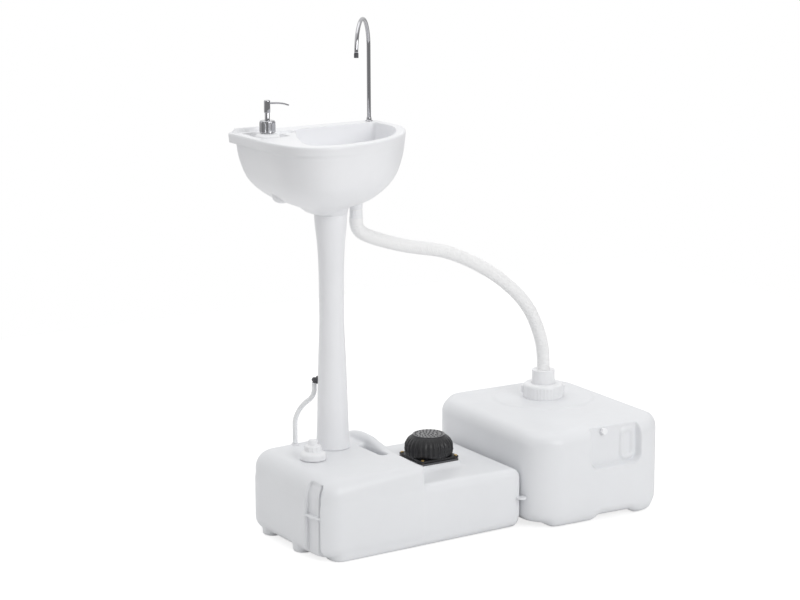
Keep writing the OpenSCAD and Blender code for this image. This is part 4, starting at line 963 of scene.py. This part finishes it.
def white_to_camera(mat, shader_out):
    """Mixes some plain white light in for rays from the camera; the rest of what the
    floor shows is its own shade, so the shadow stays."""
    tree = mat.node_tree
    path = tree.nodes.new("ShaderNodeLightPath")
    glow = tree.nodes.new("ShaderNodeEmission")
    glow.inputs["Strength"].default_value = FLOOR_GLOW
    mix = tree.nodes.new("ShaderNodeMixShader")
    seen = tree.nodes.new("ShaderNodeMath")
    seen.operation = "MULTIPLY"
    seen.inputs[1].default_value = FLOOR_SHARE
    tree.links.new(path.outputs["Is Camera Ray"], seen.inputs[0])
    tree.links.new(seen.outputs[0], mix.inputs["Fac"])
    tree.links.new(shader_out, mix.inputs[1])
    tree.links.new(glow.outputs[0], mix.inputs[2])
    return mix


corners = np.array([[-1, -1], [1, -1], [1, 1], [-1, 1]]) * FLOOR_HALF
floor = mesh_piece("floor", np.column_stack([corners, np.full(4, -0.0005)]), [[0, 1, 2, 3]], False)
floor_mat, floor_shader = finish_tree("floor_white", (0.88, 0.88, 0.88), 0.9)
mixed = white_to_camera(floor_mat, floor_shader.outputs[0])
out = floor_mat.node_tree.nodes["Material Output"]
floor_mat.node_tree.links.new(mixed.outputs[0], out.inputs["Surface"])
floor.data.materials.append(floor_mat)

# %% Sky
SKY_LOW, SKY_HIGH, SKY_AXIS = 0.32, 0.90, (0.0, 0.62, 0.78)
world = bpy.data.worlds.new("studio")
bpy.context.scene.world = world
world.use_nodes = True
sky = world.node_tree
backdrop = sky.nodes["Background"]
paths, direction, along_axis, rise_of, glowing, whiter = (sky.nodes.new(kind) for kind in (
    "ShaderNodeLightPath", "ShaderNodeTexCoord", "ShaderNodeVectorMath", "ShaderNodeMapRange",
    "ShaderNodeValToRGB", "ShaderNodeMix"))
along_axis.operation = "DOT_PRODUCT"
along_axis.inputs[1].default_value = SKY_AXIS
rise_of.inputs["From Min"].default_value = -1.0
steps = glowing.color_ramp.elements
steps[0].position, steps[0].color = 0.50, (SKY_LOW,) * 3 + (1,)
steps[1].position, steps[1].color = 0.80, (SKY_HIGH,) * 3 + (1,)
whiter.data_type = "RGBA"
whiter.inputs[7].default_value = (1, 1, 1, 1)
for source, target in ((direction.outputs["Generated"], along_axis.inputs[0]),
                       (along_axis.outputs["Value"], rise_of.inputs["Value"]),
                       (rise_of.outputs["Result"], glowing.inputs["Fac"]),
                       (paths.outputs["Is Camera Ray"], whiter.inputs["Factor"]),
                       (glowing.outputs["Color"], whiter.inputs[6]),
                       (whiter.outputs[2], backdrop.inputs["Color"])):
    sky.links.new(source, target)


# %% Lamps
def lamp(name, place, aim, size, power):
    """A square soft lamp at a place, turned to aim."""
    data = bpy.data.lights.new(name, "AREA")
    data.size, data.energy = size, power
    light = bpy.data.objects.new(name, data)
    bpy.context.collection.objects.link(light)
    away = np.array(place) - np.array(aim)
    away = away / np.linalg.norm(away)
    side = np.cross((0, 0, 1), away)
    side /= np.linalg.norm(side)
    m = np.eye(4)
    m[:3, 0], m[:3, 1], m[:3, 2], m[:3, 3] = side, np.cross(away, side), away, place
    light.matrix_world = Matrix(m.tolist())
    return light


lamp("key", (0.5, -3.8, 2.2), (0, 0, 0.4), 2.0, 69)
lamp("top", (-0.4, 0.6, 3.6), (-0.1, 0, 0.3), 2.6, 20)

# %% Colour view
bpy.context.scene.view_settings.view_transform = "Standard"
